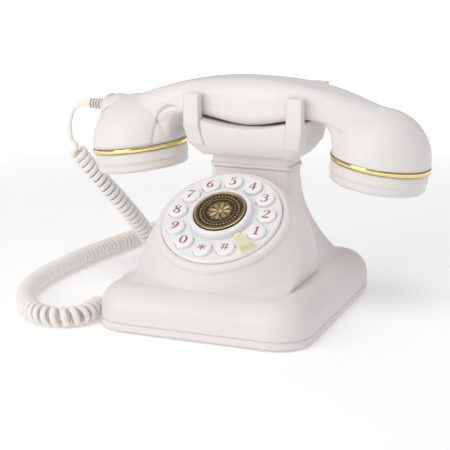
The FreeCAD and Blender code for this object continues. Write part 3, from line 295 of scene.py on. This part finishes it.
pale_gold = plated("pale_gilt", (1.0, 0.95, 0.64), (0.97, 0.9, 0.55), 0.3, 0.0000003, 0.6)
steel = plated("plain_steel", (0.62, 0.62, 0.63), (0.5, 0.5, 0.51), 0.35, 0.000006)
rubber = moulded("black_rubber", (0.035, 0.035, 0.037), (0.055, 0.053, 0.052), 0.75, 0.00004)
dark_plastic = moulded("dark_abs", (0.05, 0.05, 0.055), (0.065, 0.065, 0.068), 0.5, 0.00001)
circuit_board = moulded("green_laminate", (0.05, 0.2, 0.09), (0.035, 0.15, 0.07), 0.4, 0.000006, 0.3)
paint(pale_gold, "finger_stop")
paint(steel, *("base_screw_%d" % number for number in (1, 2, 3, 4)), "ballast_weight", "handset_weight")
paint(rubber, "foot_front_left", "foot_rear_left", "foot_front_right", "foot_rear_right", "keypad_mat")
paint(dark_plastic, "ringer", "switch_base", "hook_switch", "receiver_capsule", "microphone", "ringer_switch")
paint(circuit_board, "main_board", "dial_board")
print("metals and dark pieces painted")

# %% [markdown]
# ## Surfaces from numpy
# Every new piece is a grid of points: rows along one parameter, columns along the other. One function
# turns such a grid into a closed mesh, and merges the points of a row that has shrunk to a pole.

# %% Grid to mesh
def skin(name, grid, finish, wrap=True, smooth=True):
    """A surface from grid[i, j] = point at parameters i and j; wrap joins the last column to the first."""
    rows, columns = grid.shape[:2]
    index = np.arange(rows * columns).reshape(rows, columns)
    right = np.roll(index, -1, axis=1)
    if not wrap:
        index, right = index[:, :-1], index[:, 1:]
    faces = np.stack([index[:-1], right[:-1], right[1:], index[1:]], axis=-1).reshape(-1, 4)
    mesh = bpy.data.meshes.new(name)
    mesh.from_pydata(grid.reshape(-1, 3).tolist(), [], faces.tolist())
    work = bmesh.new()
    work.from_mesh(mesh)
    bmesh.ops.remove_doubles(work, verts=work.verts, dist=1e-7)
    if wrap:
        bmesh.ops.recalc_face_normals(work, faces=work.faces)
    work.to_mesh(mesh)
    work.free()
    mesh.polygons.foreach_set("use_smooth", np.full(len(mesh.polygons), smooth))
    mesh.materials.append(finish.material)
    piece = bpy.data.objects.new(name, mesh)
    bpy.context.collection.objects.link(piece)
    return piece


def softened(corners, radius, steps=5):
    """A profile with each inner corner C replaced by the curve (1-t)^2 A + 2t(1-t) C + t^2 B, where A and B
    lie that far before and after it (at most 0.45 of the side)."""
    points = np.array(corners, float)
    radius = np.broadcast_to(np.asarray(radius, float), len(points))[1:-1, None]
    before, corner, after = points[:-2], points[1:-1], points[2:]
    back, ahead = before - corner, after - corner
    long_back = np.linalg.norm(back, axis=1, keepdims=True)
    long_ahead = np.linalg.norm(ahead, axis=1, keepdims=True)
    start = corner + back / long_back * np.minimum(radius, 0.45 * long_back)
    end = corner + ahead / long_ahead * np.minimum(radius, 0.45 * long_ahead)
    t = np.linspace(0, 1, steps)[None, :, None]
    curve = (1 - t) ** 2 * start[:, None] + 2 * t * (1 - t) * corner[:, None] + t ** 2 * end[:, None]
    return np.concatenate([points[:1], curve.reshape(-1, 2), points[-1:]])


def turned(profile, place, segments=64, centre=(0.0, 0.0)):
    """A lathe form: point(i, j) = origin + (cx + r cos a) X + (cy + r sin a) Y + h Z for rows (r, h)."""
    origin, axes = place
    angle = np.linspace(0, 2 * np.pi, segments, endpoint=False)
    r, h = profile[:, :1], profile[:, 1:]
    local = np.stack([centre[0] + r * np.cos(angle), centre[1] + r * np.sin(angle), h + 0 * angle], axis=-1)
    return (origin + local @ axes) * MM


def local_points(piece, place):
    """A piece's vertices in the frame of a place, in millimetres: (co / MM - origin) on each axis."""
    co = np.empty(len(piece.data.vertices) * 3)
    piece.data.vertices.foreach_get("co", co)
    return (co.reshape(-1, 3) / MM - place[0]) @ place[1].T


def store(piece, label, values):
    """Keeps one number per vertex under a label, for a finish to read."""
    kept = piece.data.attributes.new(label, "FLOAT", "POINT")
    kept.data.foreach_set("value", np.asarray(values, np.float32))


lean = math.radians(32.3)
dial = (np.array([0.0, -31.8, 65.8]),
        np.array([[1, 0, 0], [0, math.cos(lean), math.sin(lean)], [0, -math.sin(lean), math.cos(lean)]]))
print("dial normal", np.round(dial[1][2], 4))

# %% [markdown]
# ## The curly cord
# The cord leaves the handset's strain relief, hangs down the left side, folds back behind the phone
# and lies along the floor to the socket in the base. Its route is one smooth NURBS line that has the
# solid's points as its control points, some of them moved by up to 10 mm to follow the photograph. The
# wire winds round that line, and the winding opens and closes along it as a used cord's does.

# %% Route of the cord
route_points = np.array([
    (-116.3, 29, 116.5), (-123.5, 29, 116.5), (-129.6, 29.2, 111.4), (-132.6, 29.8, 102), (-133, 31.5, 91),
    (-127, 36, 78), (-114.5, 48, 57), (-106.5, 61, 40), (-102.5, 74, 25.5), (-102, 86, 12), (-102, 103, 6.7),
    (-97, 122, 6.7), (-100.5, 138, 6.7), (-116, 138, 6.7), (-121, 124, 6.7), (-122.5, 101, 6.7),
    (-128.5, 72, 6.7), (-133.5, 39, 6.7), (-135, 6, 6.7), (-133, -22, 6.7), (-126, -46, 6.7),
    (-113.5, -66, 6.7), (-98, -79, 6.7), (-82.5, -81, 6.7), (-72, -71.5, 6.7), (-73, -52.5, 6.7),
    (-73.5, -38, 5), (-73, -26, 3.4), (-76, -12, 5), (-81, 0, 9), (-77.5, 8, 12.4), (-67.4, 8, 12.4)])


def smooth_route(points):
    """Points read from a NURBS line of order 3 that has the route's points as its control points."""
    data = bpy.data.curves.new("cord_route", "CURVE")
    data.dimensions = "3D"
    spline = data.splines.new("NURBS")
    spline.points.add(len(points) - 1)
    spline.points.foreach_set("co", np.c_[points * MM, np.ones(len(points))].ravel())
    spline.order_u = 3
    spline.use_endpoint_u = True
    spline.resolution_u = 40
    line = bpy.data.objects.new("cord_route", data)
    read = bpy.data.meshes.new_from_object(line)
    co = np.empty(len(read.vertices) * 3)
    read.vertices.foreach_get("co", co)
    bpy.data.objects.remove(line)
    bpy.data.meshes.remove(read)
    return co.reshape(-1, 3) / MM


line = smooth_route(route_points)
along = np.r_[0, np.cumsum(np.linalg.norm(np.diff(line, axis=0), axis=1))]
print("route", round(along[-1], 1), "mm in", len(line), "points")

# %% [markdown]
# A helix needs two directions across the route at every station. Carrying the first pair along and
# only tilting it with the route (no twist) keeps the winding even round the bends. The angle of the
# wire is the sum of 2 pi / pitch, and its distance from the route grows from zero at each lead.

# %% Helix of the cord
wire_radius, wire_half_width, curl_radius = 1.4, 1.95, 4.7
curl_ramp, lead_pitch, pitch_fade, ramp_fade = 10.0, 16.0, 5.0, 3.0
mark_points = (4, 9, 14, 19, 22, 26)
curl_pitches = [4.4, 5.8, 4.4, 4.8, 5.4]
station = np.linspace(0, along[-1], 4600)
middle_line = np.stack([np.interp(station, along, line[:, k]) for k in range(3)], axis=1)
ahead = np.gradient(middle_line, axis=0)
ahead /= np.linalg.norm(ahead, axis=1, keepdims=True)
across = np.zeros_like(ahead)
across[0] = (0, 1, 0)
for k in range(1, len(ahead)):
    carried = across[k - 1] - ahead[k] * (across[k - 1] @ ahead[k])
    across[k] = carried / np.linalg.norm(carried)
other = np.cross(ahead, across)


def nearest(index):
    """The route length at which the smooth line passes nearest to a route point."""
    return along[np.argmin(np.linalg.norm(line - route_points[index], axis=1))]


def step(low, high):
    """0 before low, 1 after high, and 3t^2 - 2t^3 between them, along the route."""
    t = np.clip((station - low) / (high - low), 0, 1)
    return t * t * (3 - 2 * t)


marks = [nearest(k) for k in mark_points]
first, last = marks[0], marks[-1]
swell = step(first, first + curl_ramp) * (1 - step(last - curl_ramp, last))
edges = np.repeat(marks[1:-1], 2) + np.tile([-pitch_fade, pitch_fade], len(marks) - 2)
pitch = np.interp(station, edges, np.repeat(curl_pitches, 2)[1:-1])
on_ramp = 1 - step(first + curl_ramp - ramp_fade, first + curl_ramp) * (
    1 - step(last - curl_ramp, last - curl_ramp + ramp_fade))
winding = 1 / (pitch + (lead_pitch - pitch) * on_ramp)
winding[(station < first) | (station > last)] = 0.0
turns = np.cumsum(winding) * (station[1] - station[0])
spoke = np.cos(2 * np.pi * turns)[:, None] * across + np.sin(2 * np.pi * turns)[:, None] * other
wire_line = middle_line + spoke * (swell * curl_radius)[:, None]

# %% [markdown]
# The wire is a flattened oval section carried along that helix, broad side out. The spoke that points
# away from the route, made square to the wire's own direction, turns the section, so the tube never
# twists on itself. Its stated diameter is that of the round wire with the same area.

# %% Tube of the cord
def tube(line_points, spokes, thick, wide, sides):
    """point(i, j) = P_i + thick cos a_j N_i + wide sin a_j B_i, where N is the spoke made square to the
    tangent T, and B = T x N."""
    tangent = np.gradient(line_points, axis=0)
    tangent /= np.linalg.norm(tangent, axis=1, keepdims=True)
    normal = spokes - tangent * (spokes * tangent).sum(axis=1, keepdims=True)
    normal /= np.linalg.norm(normal, axis=1, keepdims=True)
    angle = np.linspace(0, 2 * np.pi, sides, endpoint=False)[None, :, None]
    side = np.cross(tangent, normal)
    around = thick * np.cos(angle) * normal[:, None] + wide * np.sin(angle) * side[:, None]
    ends = [np.repeat(line_points[k][None, None], sides, axis=1) for k in (0, -1)]
    return np.concatenate([ends[0], line_points[:, None] + around, ends[1]], axis=0)


vinyl = moulded("off_white_vinyl", (0.90, 0.865, 0.84), (0.88, 0.84, 0.81), 0.4, 0.000008)
cord = skin("curled_wire", tube(wire_line, spoke, wire_radius, wire_half_width, 12) * MM, vinyl)
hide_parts("curly_cord")
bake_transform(cord)
(wire_line * MM).tolist()

# %% [markdown]
# ## Strain relief and plug
# Where the wire leaves the handset it is held by a soft ribbed sleeve that thins towards the wire; at
# the base it ends in a small clear plug. The sleeve is a lathe form on an axis along -X. Shade is painted
# into its grooves: their depth is kept on the mesh, and the finish darkens the colour by it.

# %% Strain relief
groove_depth = 1.25
sleeve_length, sleeve_thick, sleeve_thin, sleeve_ribs = 12.0, 3.9, 3.3, 6


def ribbed_sleeve(length, thick, thin, ribs, rows=121):
    """Radius = taper from thick to thin, less depth (0.5 + 0.5 cos(2 pi n s))^1.4, and clear of the wire."""
    s = np.linspace(0, 1, rows)
    groove = (0.5 + 0.5 * np.cos(2 * np.pi * ribs * s)) ** 1.4
    radius = thick + (thin - thick) * s - groove_depth * groove * (s > 0.02)
    wall = np.stack([np.maximum(radius, wire_radius + 0.25), s * length], axis=1)
    return np.concatenate([[(0, 0)], wall, [(wire_radius * 0.9, length)]])


sleeve_place = (np.array([-104.3, 29.0, 116.5]), np.array([[0, 1, 0], [0, 0, 1], [-1, 0, 0]], float))
rib_color = (0.86, 0.81, 0.77)
sleeve_vinyl = moulded("sleeve_vinyl", rib_color, (0.84, 0.785, 0.74), 0.42, 0.000008)
# Painted shade: the deeper a point lies in a groove, the more its colour goes to a dark brown-grey.
painted_groove_shade = sleeve_vinyl.node("ShaderNodeAttribute", {"attribute_name": "groove"}, out="Fac")
sleeve_vinyl.put("Base Color", sleeve_vinyl.blend(painted_groove_shade, (*rib_color, 1), (0.42, 0.34, 0.27, 1)))
sleeve_profile = ribbed_sleeve(sleeve_length, sleeve_thick, sleeve_thin, sleeve_ribs)
sleeve = skin("relief_sleeve", turned(sleeve_profile, sleeve_place, 40), sleeve_vinyl)
# Depth into the grooves, from 0 on the ribs to 1 at the bottom, kept for the painted groove shade.
local = local_points(sleeve, sleeve_place)
reach = np.clip(local[:, 2] / sleeve_length, 0, 1)
full = sleeve_thick + (sleeve_thin - sleeve_thick) * reach
store(sleeve, "groove", np.clip((full - np.hypot(local[:, 0], local[:, 1])) / groove_depth, 0, 1) ** 1.5)
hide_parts("strain_relief")
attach(sleeve, "handset")
clear_plug = moulded("clear_plug", (0.78, 0.79, 0.78), (0.74, 0.75, 0.74), 0.12, 0.000002, 0.4)
paint(clear_plug, "cord_plug")
print("sleeve", len(sleeve.data.polygons), "faces")

# %% [markdown]
# ## Keys
# Twelve round keys stand in a ring round the hub, each a shallow dome with a soft shoulder. They are
# lathe forms in the dial's own frame, set out by one angle step; each rides on its own body, so it
# goes down when it is pressed.

# %% Domed keys
key_names = ["1", "2", "3", "4", "5", "6", "7", "8", "9", "0", "star", "hash"]
key_radius, key_crown, key_circle = 5.7, 0.6, 27.8
flange_radius, flange_low, flange_high = 6.5, -6.2, -5.0
shoulder, shoulder_rise = 0.75, 0.89
first_angle, angle_step = -22.6, 28.76
key_angle = np.radians(first_angle + angle_step * np.arange(len(key_names)))
key_spots = np.stack([key_circle * np.cos(key_angle), key_circle * np.sin(key_angle)], axis=1)


def crown_height(r):
    """The key's top: h = crown (1 - (r / R)^2), a shallow bowl turned over."""
    return key_crown * (1 - (r / key_radius) ** 2)


def key_profile():
    """A straight side, a rounded shoulder and the crown, from the flange below up to the pole."""
    side = np.array([(0.0, flange_low), (flange_radius, flange_low), (flange_radius, flange_high),
                     (key_radius, flange_high), (key_radius, -shoulder)])
    inner = key_radius - shoulder
    t = np.linspace(0, np.pi / 2, 8)[1:]
    bend = np.stack([inner + shoulder * np.cos(t), -shoulder + shoulder_rise * np.sin(t)], axis=1)
    r = np.linspace(inner, 0, 12)[1:]
    return np.concatenate([side, bend, np.stack([r, crown_height(r)], axis=1)])


for name, spot in zip(key_names, key_spots):
    key = skin("dome_key_" + name, turned(key_profile(), dial, 48, spot), white_key)
    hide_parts("key_" + name)
    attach(key, "key_" + name)
print("keys:", len(key_names))

# %% [markdown]
# ## Digits
# The digits are red-brown and bold, with thick and thin strokes. A font file would have to be
# read from disk, so each one is drawn as pen strokes: a smooth line through a few points, with the
# pen's width given at each. The strokes are laid on the crown by the same bowl formula, a hair proud.

# %% Digit strokes
strokes = {
    "0": [[(0.30, 0.97, 0.06), (0.13, 0.80, 0.14), (0.07, 0.50, 0.17), (0.13, 0.20, 0.14),
           (0.30, 0.03, 0.06), (0.47, 0.20, 0.14), (0.53, 0.50, 0.17), (0.47, 0.80, 0.14),
           (0.30, 0.97, 0.06)]],
    "1": [[(0.10, 0.80, 0.05), (0.24, 0.85, 0.08), (0.35, 0.96, 0.10)],
          [(0.35, 0.99, 0.17), (0.35, 0.50, 0.17), (0.35, 0.04, 0.17)],
          [(0.13, 0.03, 0.07), (0.35, 0.04, 0.08), (0.57, 0.03, 0.07)]],
    "2": [[(0.10, 0.73, 0.14), (0.15, 0.89, 0.09), (0.30, 0.96, 0.07), (0.47, 0.87, 0.15),
           (0.49, 0.70, 0.17), (0.36, 0.46, 0.12), (0.19, 0.25, 0.08), (0.07, 0.08, 0.06)],
          [(0.05, 0.08, 0.12), (0.28, 0.09, 0.16), (0.49, 0.07, 0.13), (0.58, 0.23, 0.05)]],
    "3": [[(0.09, 0.79, 0.12), (0.18, 0.93, 0.08), (0.31, 0.96, 0.07), (0.47, 0.84, 0.15),
           (0.43, 0.65, 0.13), (0.24, 0.54, 0.06)],
          [(0.24, 0.54, 0.06), (0.45, 0.46, 0.13), (0.52, 0.28, 0.17), (0.42, 0.09, 0.11),
           (0.22, 0.03, 0.07), (0.07, 0.14, 0.14)]],
    "4": [[(0.43, 0.97, 0.07), (0.25, 0.64, 0.07), (0.05, 0.33, 0.07)],
          [(0.04, 0.30, 0.09), (0.30, 0.30, 0.09), (0.62, 0.30, 0.09)],
          [(0.44, 0.98, 0.15), (0.44, 0.50, 0.16), (0.44, 0.02, 0.16)]],
    "5": [[(0.19, 0.91, 0.14), (0.40, 0.92, 0.14), (0.56, 0.97, 0.07)],
          [(0.19, 0.93, 0.07), (0.17, 0.75, 0.07), (0.14, 0.56, 0.06)],
          [(0.14, 0.55, 0.06), (0.34, 0.60, 0.11), (0.51, 0.44, 0.17), (0.47, 0.17, 0.16),
           (0.27, 0.03, 0.07), (0.07, 0.11, 0.14)]],
    "6": [[(0.55, 0.95, 0.05), (0.30, 0.80, 0.12), (0.12, 0.48, 0.17), (0.13, 0.20, 0.16),
           (0.30, 0.03, 0.06), (0.48, 0.18, 0.15), (0.50, 0.38, 0.15), (0.36, 0.55, 0.06),
           (0.17, 0.43, 0.05)]],
    "7": [[(0.06, 0.76, 0.05), (0.11, 0.92, 0.12), (0.34, 0.89, 0.15), (0.57, 0.95, 0.09)],
          [(0.57, 0.95, 0.05), (0.41, 0.55, 0.10), (0.28, 0.25, 0.16), (0.25, 0.03, 0.17)]],
    "8": [[(0.29, 0.52, 0.15), (0.13, 0.69, 0.14), (0.15, 0.89, 0.10), (0.31, 0.97, 0.06),
           (0.47, 0.89, 0.10), (0.46, 0.70, 0.10), (0.29, 0.52, 0.14), (0.10, 0.32, 0.12),
           (0.11, 0.10, 0.12), (0.29, 0.03, 0.06), (0.50, 0.12, 0.14), (0.49, 0.34, 0.16),
           (0.29, 0.52, 0.15)]],
    "star": [[(0.30, 0.50, 0.05), (0.30, 0.66, 0.09), (0.30, 0.84, 0.12)],
             [(0.30, 0.50, 0.05), (0.16, 0.58, 0.09), (0.02, 0.67, 0.12)],
             [(0.30, 0.50, 0.05), (0.16, 0.42, 0.09), (0.02, 0.33, 0.12)],
             [(0.30, 0.50, 0.05), (0.30, 0.34, 0.09), (0.30, 0.16, 0.12)],
             [(0.30, 0.50, 0.05), (0.44, 0.42, 0.09), (0.58, 0.33, 0.12)],
             [(0.30, 0.50, 0.05), (0.44, 0.58, 0.09), (0.58, 0.67, 0.12)]],
    "hash": [[(0.17, 0.90, 0.08), (0.17, 0.50, 0.08), (0.17, 0.10, 0.08)],
             [(0.43, 0.90, 0.08), (0.43, 0.50, 0.08), (0.43, 0.10, 0.08)],
             [(-0.02, 0.65, 0.08), (0.30, 0.65, 0.08), (0.62, 0.65, 0.08)],
             [(-0.02, 0.35, 0.08), (0.30, 0.35, 0.08), (0.62, 0.35, 0.08)]],
}
strokes["9"] = [[(0.6 - x, 1 - y, w) for x, y, w in strokes["6"][0]]]


def pen_stroke(points, steps=10):
    """A Catmull-Rom line through the points: each span is a cubic of its two ends and their neighbours."""
    p = np.array(points, float)
    p = np.concatenate([2 * p[:1] - p[1:2], p, 2 * p[-1:] - p[-2:-1]])
    t = np.linspace(0, 1, steps, endpoint=False)[None, :, None]
    a, b, c, d = p[:-3, None], p[1:-2, None], p[2:-1, None], p[3:, None]
    bend, turn = 2 * a - 5 * b + 4 * c - d, 3 * b - a - 3 * c + d
    curve = 0.5 * (2 * b + (c - a) * t + bend * t ** 2 + turn * t ** 3)
    return np.concatenate([curve.reshape(-1, 3), p[-2:-1]])


def ribbon(points):
    """Two edges at P plus and minus half the width along the line's left, with three points across."""
    line_points = pen_stroke(points)
    tangent = np.gradient(line_points[:, :2], axis=0)
    tangent /= np.linalg.norm(tangent, axis=1, keepdims=True)
    left = np.stack([-tangent[:, 1], tangent[:, 0]], axis=1)
    offset = np.array([-0.5, 0.0, 0.5])[None, :, None] * line_points[:, None, 2:]
    return line_points[:, None, :2] + offset * left[:, None]


def digit_grids(name, height=6.5, breadth=1.2, proud=0.03):
    """Strokes scaled to height and breadth, centred on the key and lifted onto its crown."""
    spot = key_spots[key_names.index(name)]
    origin, axes = dial
    for points in strokes[name]:
        flat = (ribbon(points) - (0.30, 0.5)) * height * (breadth, 1.0)
        lift = crown_height(np.linalg.norm(flat, axis=-1)) + proud
        yield (origin + np.concatenate([flat + spot, lift[..., None]], axis=-1) @ axes) * MM


ink = moulded("red_brown_ink", (0.42, 0.115, 0.085), (0.46, 0.14, 0.105), 0.5, 0.000002)
for name in key_names:
    drawn = [skin("stroke", grid, ink, wrap=False) for grid in digit_grids(name)]
    points, faces = [], []
    for o in drawn:
        start = len(points)
        points.extend(tuple(vertex.co) for vertex in o.data.vertices)
        faces.extend(tuple(index + start for index in face.vertices) for face in o.data.polygons)
    mesh = bpy.data.meshes.new("digit_" + name)
    mesh.from_pydata(points, [], faces)
    mesh.materials.append(ink.material)
    digit = bpy.data.objects.new("digit_" + name, mesh)
    bpy.context.collection.objects.link(digit)
    for o in drawn:
        bpy.data.objects.remove(o)
    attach(digit, "key_" + name)
print("digits:", len(strokes))

# %% [markdown]
# ## Hub collar and medallion
# A raised white collar stands in the middle of the dial, and a bronze medallion lies in it, which is
# pressed to redial. The medallion is struck metal: rings, a bead border and a rosette, dark in the
# hollows and rubbed bright on the high places. Its relief is a height over the plane, h(r, a).

# %% Hub collar
collar_corners = [(16.2, -2.0), (19.2, -2.0), (19.2, 1.4), (18.3, 2.8), (16.6, 2.8), (16.05, 2.1),
                  (16.05, -2.0), (16.2, -2.0)]
collar_profile = softened(collar_corners, [0, 0.02, 1.2, 1.0, 0.5, 0.4, 0.02, 0])
collar = skin("collar_ring", turned(collar_profile, dial, 96), white_gloss)
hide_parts("hub_collar")
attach(collar, "base")
print("collar", len(collar.data.polygons), "faces")


# %% Medallion
medallion_radius, medallion_face, rim_height = 15.8, 2.8, 0.55


def bump_at(r, middle_r, half):
    """A round-topped ridge: sqrt(1 - ((r - middle) / half)^2) within half of its middle, else 0."""
    return np.sqrt(np.clip(1 - ((r - middle_r) / half) ** 2, 0, 1))


def medallion_relief(r, a):
    """The highest of: rim, two thin rings, a border of beads, a rosette of eight petals with small leaves
    between them, and a button in the middle."""
    h = rim_height * bump_at(r, 15.0, 0.75)
    h = np.maximum(h, 0.34 * bump_at(r, 13.7, 0.3))
    h = np.maximum(h, 0.34 * bump_at(r, 9.6, 0.32))
    bead = 1 - ((r - 11.65) / 0.75) ** 2 - (np.sin(a * 18) * 0.95) ** 2
    h = np.maximum(h, 0.42 * np.sqrt(np.clip(bead, 0, 1)))
    petal = np.abs(np.cos(a * 4)) ** 0.7
    reach = 3.0 + 4.6 * petal
    leaf = np.clip(1 - ((r - reach * 0.55) / (reach * 0.45 + 0.2)) ** 2, 0, 1)
    leaf *= np.clip(petal * 1.25 - 0.2, 0, 1)
    vein = 1 - 0.35 * np.exp(-(np.sin(a * 4) / 0.10) ** 2)
    h = np.maximum(h, 0.5 * np.sqrt(leaf) * vein)
    small = np.clip(np.abs(np.sin(a * 4)) ** 1.5 - 0.25, 0, 1) * np.clip(1 - ((r - 6.4) / 2.0) ** 2, 0, 1)
    h = np.maximum(h, 0.36 * np.sqrt(small))
    return np.maximum(h, 0.6 * bump_at(r, 0.0, 1.9))


a = np.linspace(0, 2 * np.pi, 288, endpoint=False)[None, :]
r = np.linspace(medallion_radius, 0, 92)[:, None]
origin, axes = dial
face = np.stack([r * np.cos(a), r * np.sin(a), medallion_face + medallion_relief(r, a)], axis=-1)
side = np.array([(0.0, 1.0), (medallion_radius, 1.0)])[:, :, None] + 0 * a
wall = np.stack([side[:, 0] * np.cos(a), side[:, 0] * np.sin(a), side[:, 1]], axis=-1)
bronze = Finish("struck_bronze", (0.30, 0.215, 0.105), 0.34, Metallic=1.0)
high = bronze.node("ShaderNodeAttribute", {"attribute_name": "relief"}, out="Fac")
worn = (high + (bronze.noise(420.0, 4.0) - 0.5) * 0.35).within(0.28, 0.85)
bronze.put("Base Color", bronze.blend(worn, (0.075, 0.055, 0.035, 1), (0.56, 0.43, 0.21, 1)))
bronze.put("Roughness", 0.5 - worn * 0.22)
bronze.bump(bronze.noise(1500.0, 3.0), 0.00002)
medallion = skin("medallion", (origin + np.concatenate([wall, face]) @ axes) * MM, bronze)
local = local_points(medallion, dial)
store(medallion, "relief", np.clip((local[:, 2] - medallion_face) / rim_height, 0, 1))
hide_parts("redial_medallion")
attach(medallion, "redial")
print("medallion", len(medallion.data.polygons), "faces, top at", round(local[:, 2].max(), 2), "mm")

# %% [markdown]
# ## Gilt rings
# Each end of the handset has a gilt ring between the dome and the cap: a half-round band, a little
# proud of both. It is a lathe form in the cap's own leaning frame.

# %% Gilt rings
def cap_frame(side):
    """The ring's centre and its axes: the upright axis leans outwards by 8.3 degrees on that side."""
    tilt = math.radians(8.3) * side
    axes = np.array([[math.cos(tilt), 0, -math.sin(tilt)], [0, 1, 0], [math.sin(tilt), 0, math.cos(tilt)]])
    return np.array([79.9 * side, 29.0, 91.8]), axes


gold = Finish("bright_gilt", (0.84, 0.66, 0.28), 0.12, Metallic=1.0)
# Painted shade and highlight: the band's colour darkens towards its two edges and stays bright along its
# middle, where reflections on a half-round metal band would fall; a noise breaks up the border, and the
# roughness rises with the same mask.
edge = gold.node("ShaderNodeAttribute", {"attribute_name": "edge"}, out="Fac")
painted_edge_shade = (edge + (gold.noise(260.0, 3.0) - 0.5) * 0.35).within(0.5, 1.0)
gold.put("Base Color", gold.blend(painted_edge_shade, (0.88, 0.72, 0.33, 1), (0.34, 0.215, 0.05, 1)))
gold.put("Roughness", 0.1 + painted_edge_shade * 0.2)
gold.bump(gold.noise(2400.0, 2.0), 0.000003)
band = np.linspace(-np.pi / 2, np.pi / 2, 17)
ring_inside, ring_outside, ring_proud, ring_half = 28.6, 30.4, 0.7, 1.6
half_round = np.stack([ring_outside + ring_proud * np.cos(band) ** 0.8, ring_half * np.sin(band)], axis=1)
back = [(ring_inside, ring_half), (ring_inside, -ring_half)]
ring_profile = np.concatenate([back[1:], half_round, back])
for side, node in ((1, "ear_ring"), (-1, "mouth_ring")):
    ring = skin("gilt_" + node, turned(ring_profile, cap_frame(side), 160), gold)
    # How far a point lies from the band's middle, 0 to 1, which sets the painted edge shade.
    store(ring, "edge", np.abs(local_points(ring, cap_frame(side))[:, 2]) / ring_half)
    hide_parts(node)
    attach(ring, "handset")
    low, high_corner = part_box(node)
    print(node, [round(c, 4) for c in low], [round(c, 4) for c in high_corner])

# %% [markdown]
# ## Ridge over the bells
# In the photograph the handle runs on over each bell as one smooth ridge, and on the left it reaches
# the cord's end. A low fairing does this: rays find the height of the shell under a grid, the height
# is averaged with a Gaussian, which fills its valleys, and a bell-shaped crest is added. What comes
# out of the shell fills its valleys and dips; the rest of the fairing lies inside its wall.

# %% Ridge over the bells
handset_y, ridge_half, ray_start = 29.0, 13.0, 170.0
dip_width, crest_width, sunk_border = 3.6, 7.5, 0.2


def averaged(height, x, y, spread):
    """Height averaged over the grid with weights exp(-d^2 / (2 spread^2)), along x and then along y."""
    for axis, place in ((0, x), (1, y)):
        weight = np.exp(-((place[:, None] - place[None, :]) / spread) ** 2 / 2)
        weight /= weight.sum(axis=1, keepdims=True)
        height = np.moveaxis(np.tensordot(weight, height, (1, axis)), 0, axis)
    return height


def fairing(shell, x, y, dip, rise, spread=2.2, border=(4.0, 8.0), deep=1.3):
    """A closed skin whose top is S + (average of S - S + crest) f - sunk (1 - f). S is the shell's height,
    f rises from 0 to 1 over the border, and crest = rise exp(-((x - dip) / w)^2) exp(-((y - y0) / v)^2)."""
    inverse = shell.matrix_world.inverted()
    down = (inverse.to_3x3() @ Vector((0, 0, -1))).normalized()
    height = np.empty((len(x), len(y)))
    for i, j in np.ndindex(height.shape):
        hit, spot, _, _ = shell.ray_cast(inverse @ (Vector((x[i], y[j], ray_start)) * MM), down)
        height[i, j] = (shell.matrix_world @ spot).z / MM if hit else 0.0
    fades = [np.clip(np.minimum(p - p[0], p[-1] - p) / width, 0, 1) for p, width in zip((x, y), border)]
    inside = np.outer(*(t * t * (3 - 2 * t) for t in fades))
    curves = (np.exp(-((p - top_at) / width) ** 2)
              for p, top_at, width in ((x, dip, dip_width), (y, handset_y, crest_width)))
    crest = rise * np.outer(*curves)
    top = height + (averaged(height, x, y, spread) - height + crest) * inside - sunk_border * (1 - inside)
    flat = np.stack(np.meshgrid(x, y, indexing="ij"), axis=-1)
    under = np.minimum(top, height) - deep
    over, below = (np.concatenate([flat, level[..., None]], axis=-1) for level in (top, under))
    over[[0, -1]] = below[[0, -1]]
    return np.concatenate([over, below[:, ::-1]], axis=1) * MM


handset_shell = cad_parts["handset_outer_shell"]
ridge_y = handset_y + np.linspace(-ridge_half, ridge_half, 53)
for name, low_x, high_x, dip, rise in (("left", -100.5, -70.0, -94.3, 2.4), ("right", 68.0, 98.0, 82.0, 0.4)):
    ridge_x = np.linspace(low_x, high_x, int((high_x - low_x) * 2) + 1)
    grid = fairing(handset_shell, ridge_x, ridge_y, dip, rise)
    ridge = skin("bell_ridge_" + name, grid, white_handset)
    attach(ridge, "handset")
    print("ridge", name, len(ridge.data.polygons), "faces")

# %% [markdown]
# ## Floor finish
# The floor is pale paper: nearly white, matt, with a faint grain. Away from the phone it glows a
# little, as a backdrop lit by its own lamps does, so that the picture's background stays white.

# %% Floor finish
paper = moulded("pale_paper", (0.93, 0.93, 0.93), (0.92, 0.92, 0.92), 0.8, 0.00002)
away = paper.node("ShaderNodeVectorMath", {"operation": "LENGTH"}, {0: paper.place()}, out="Value")
paper.put("Emission Color", paper.blend(away.within(0.3, 1.1), (0.2, 0.2, 0.2, 1), (0.8, 0.8, 0.8, 1)))
paper.put("Emission Strength", 1.0)
floor.data.materials.append(paper.material)
print("floor painted")
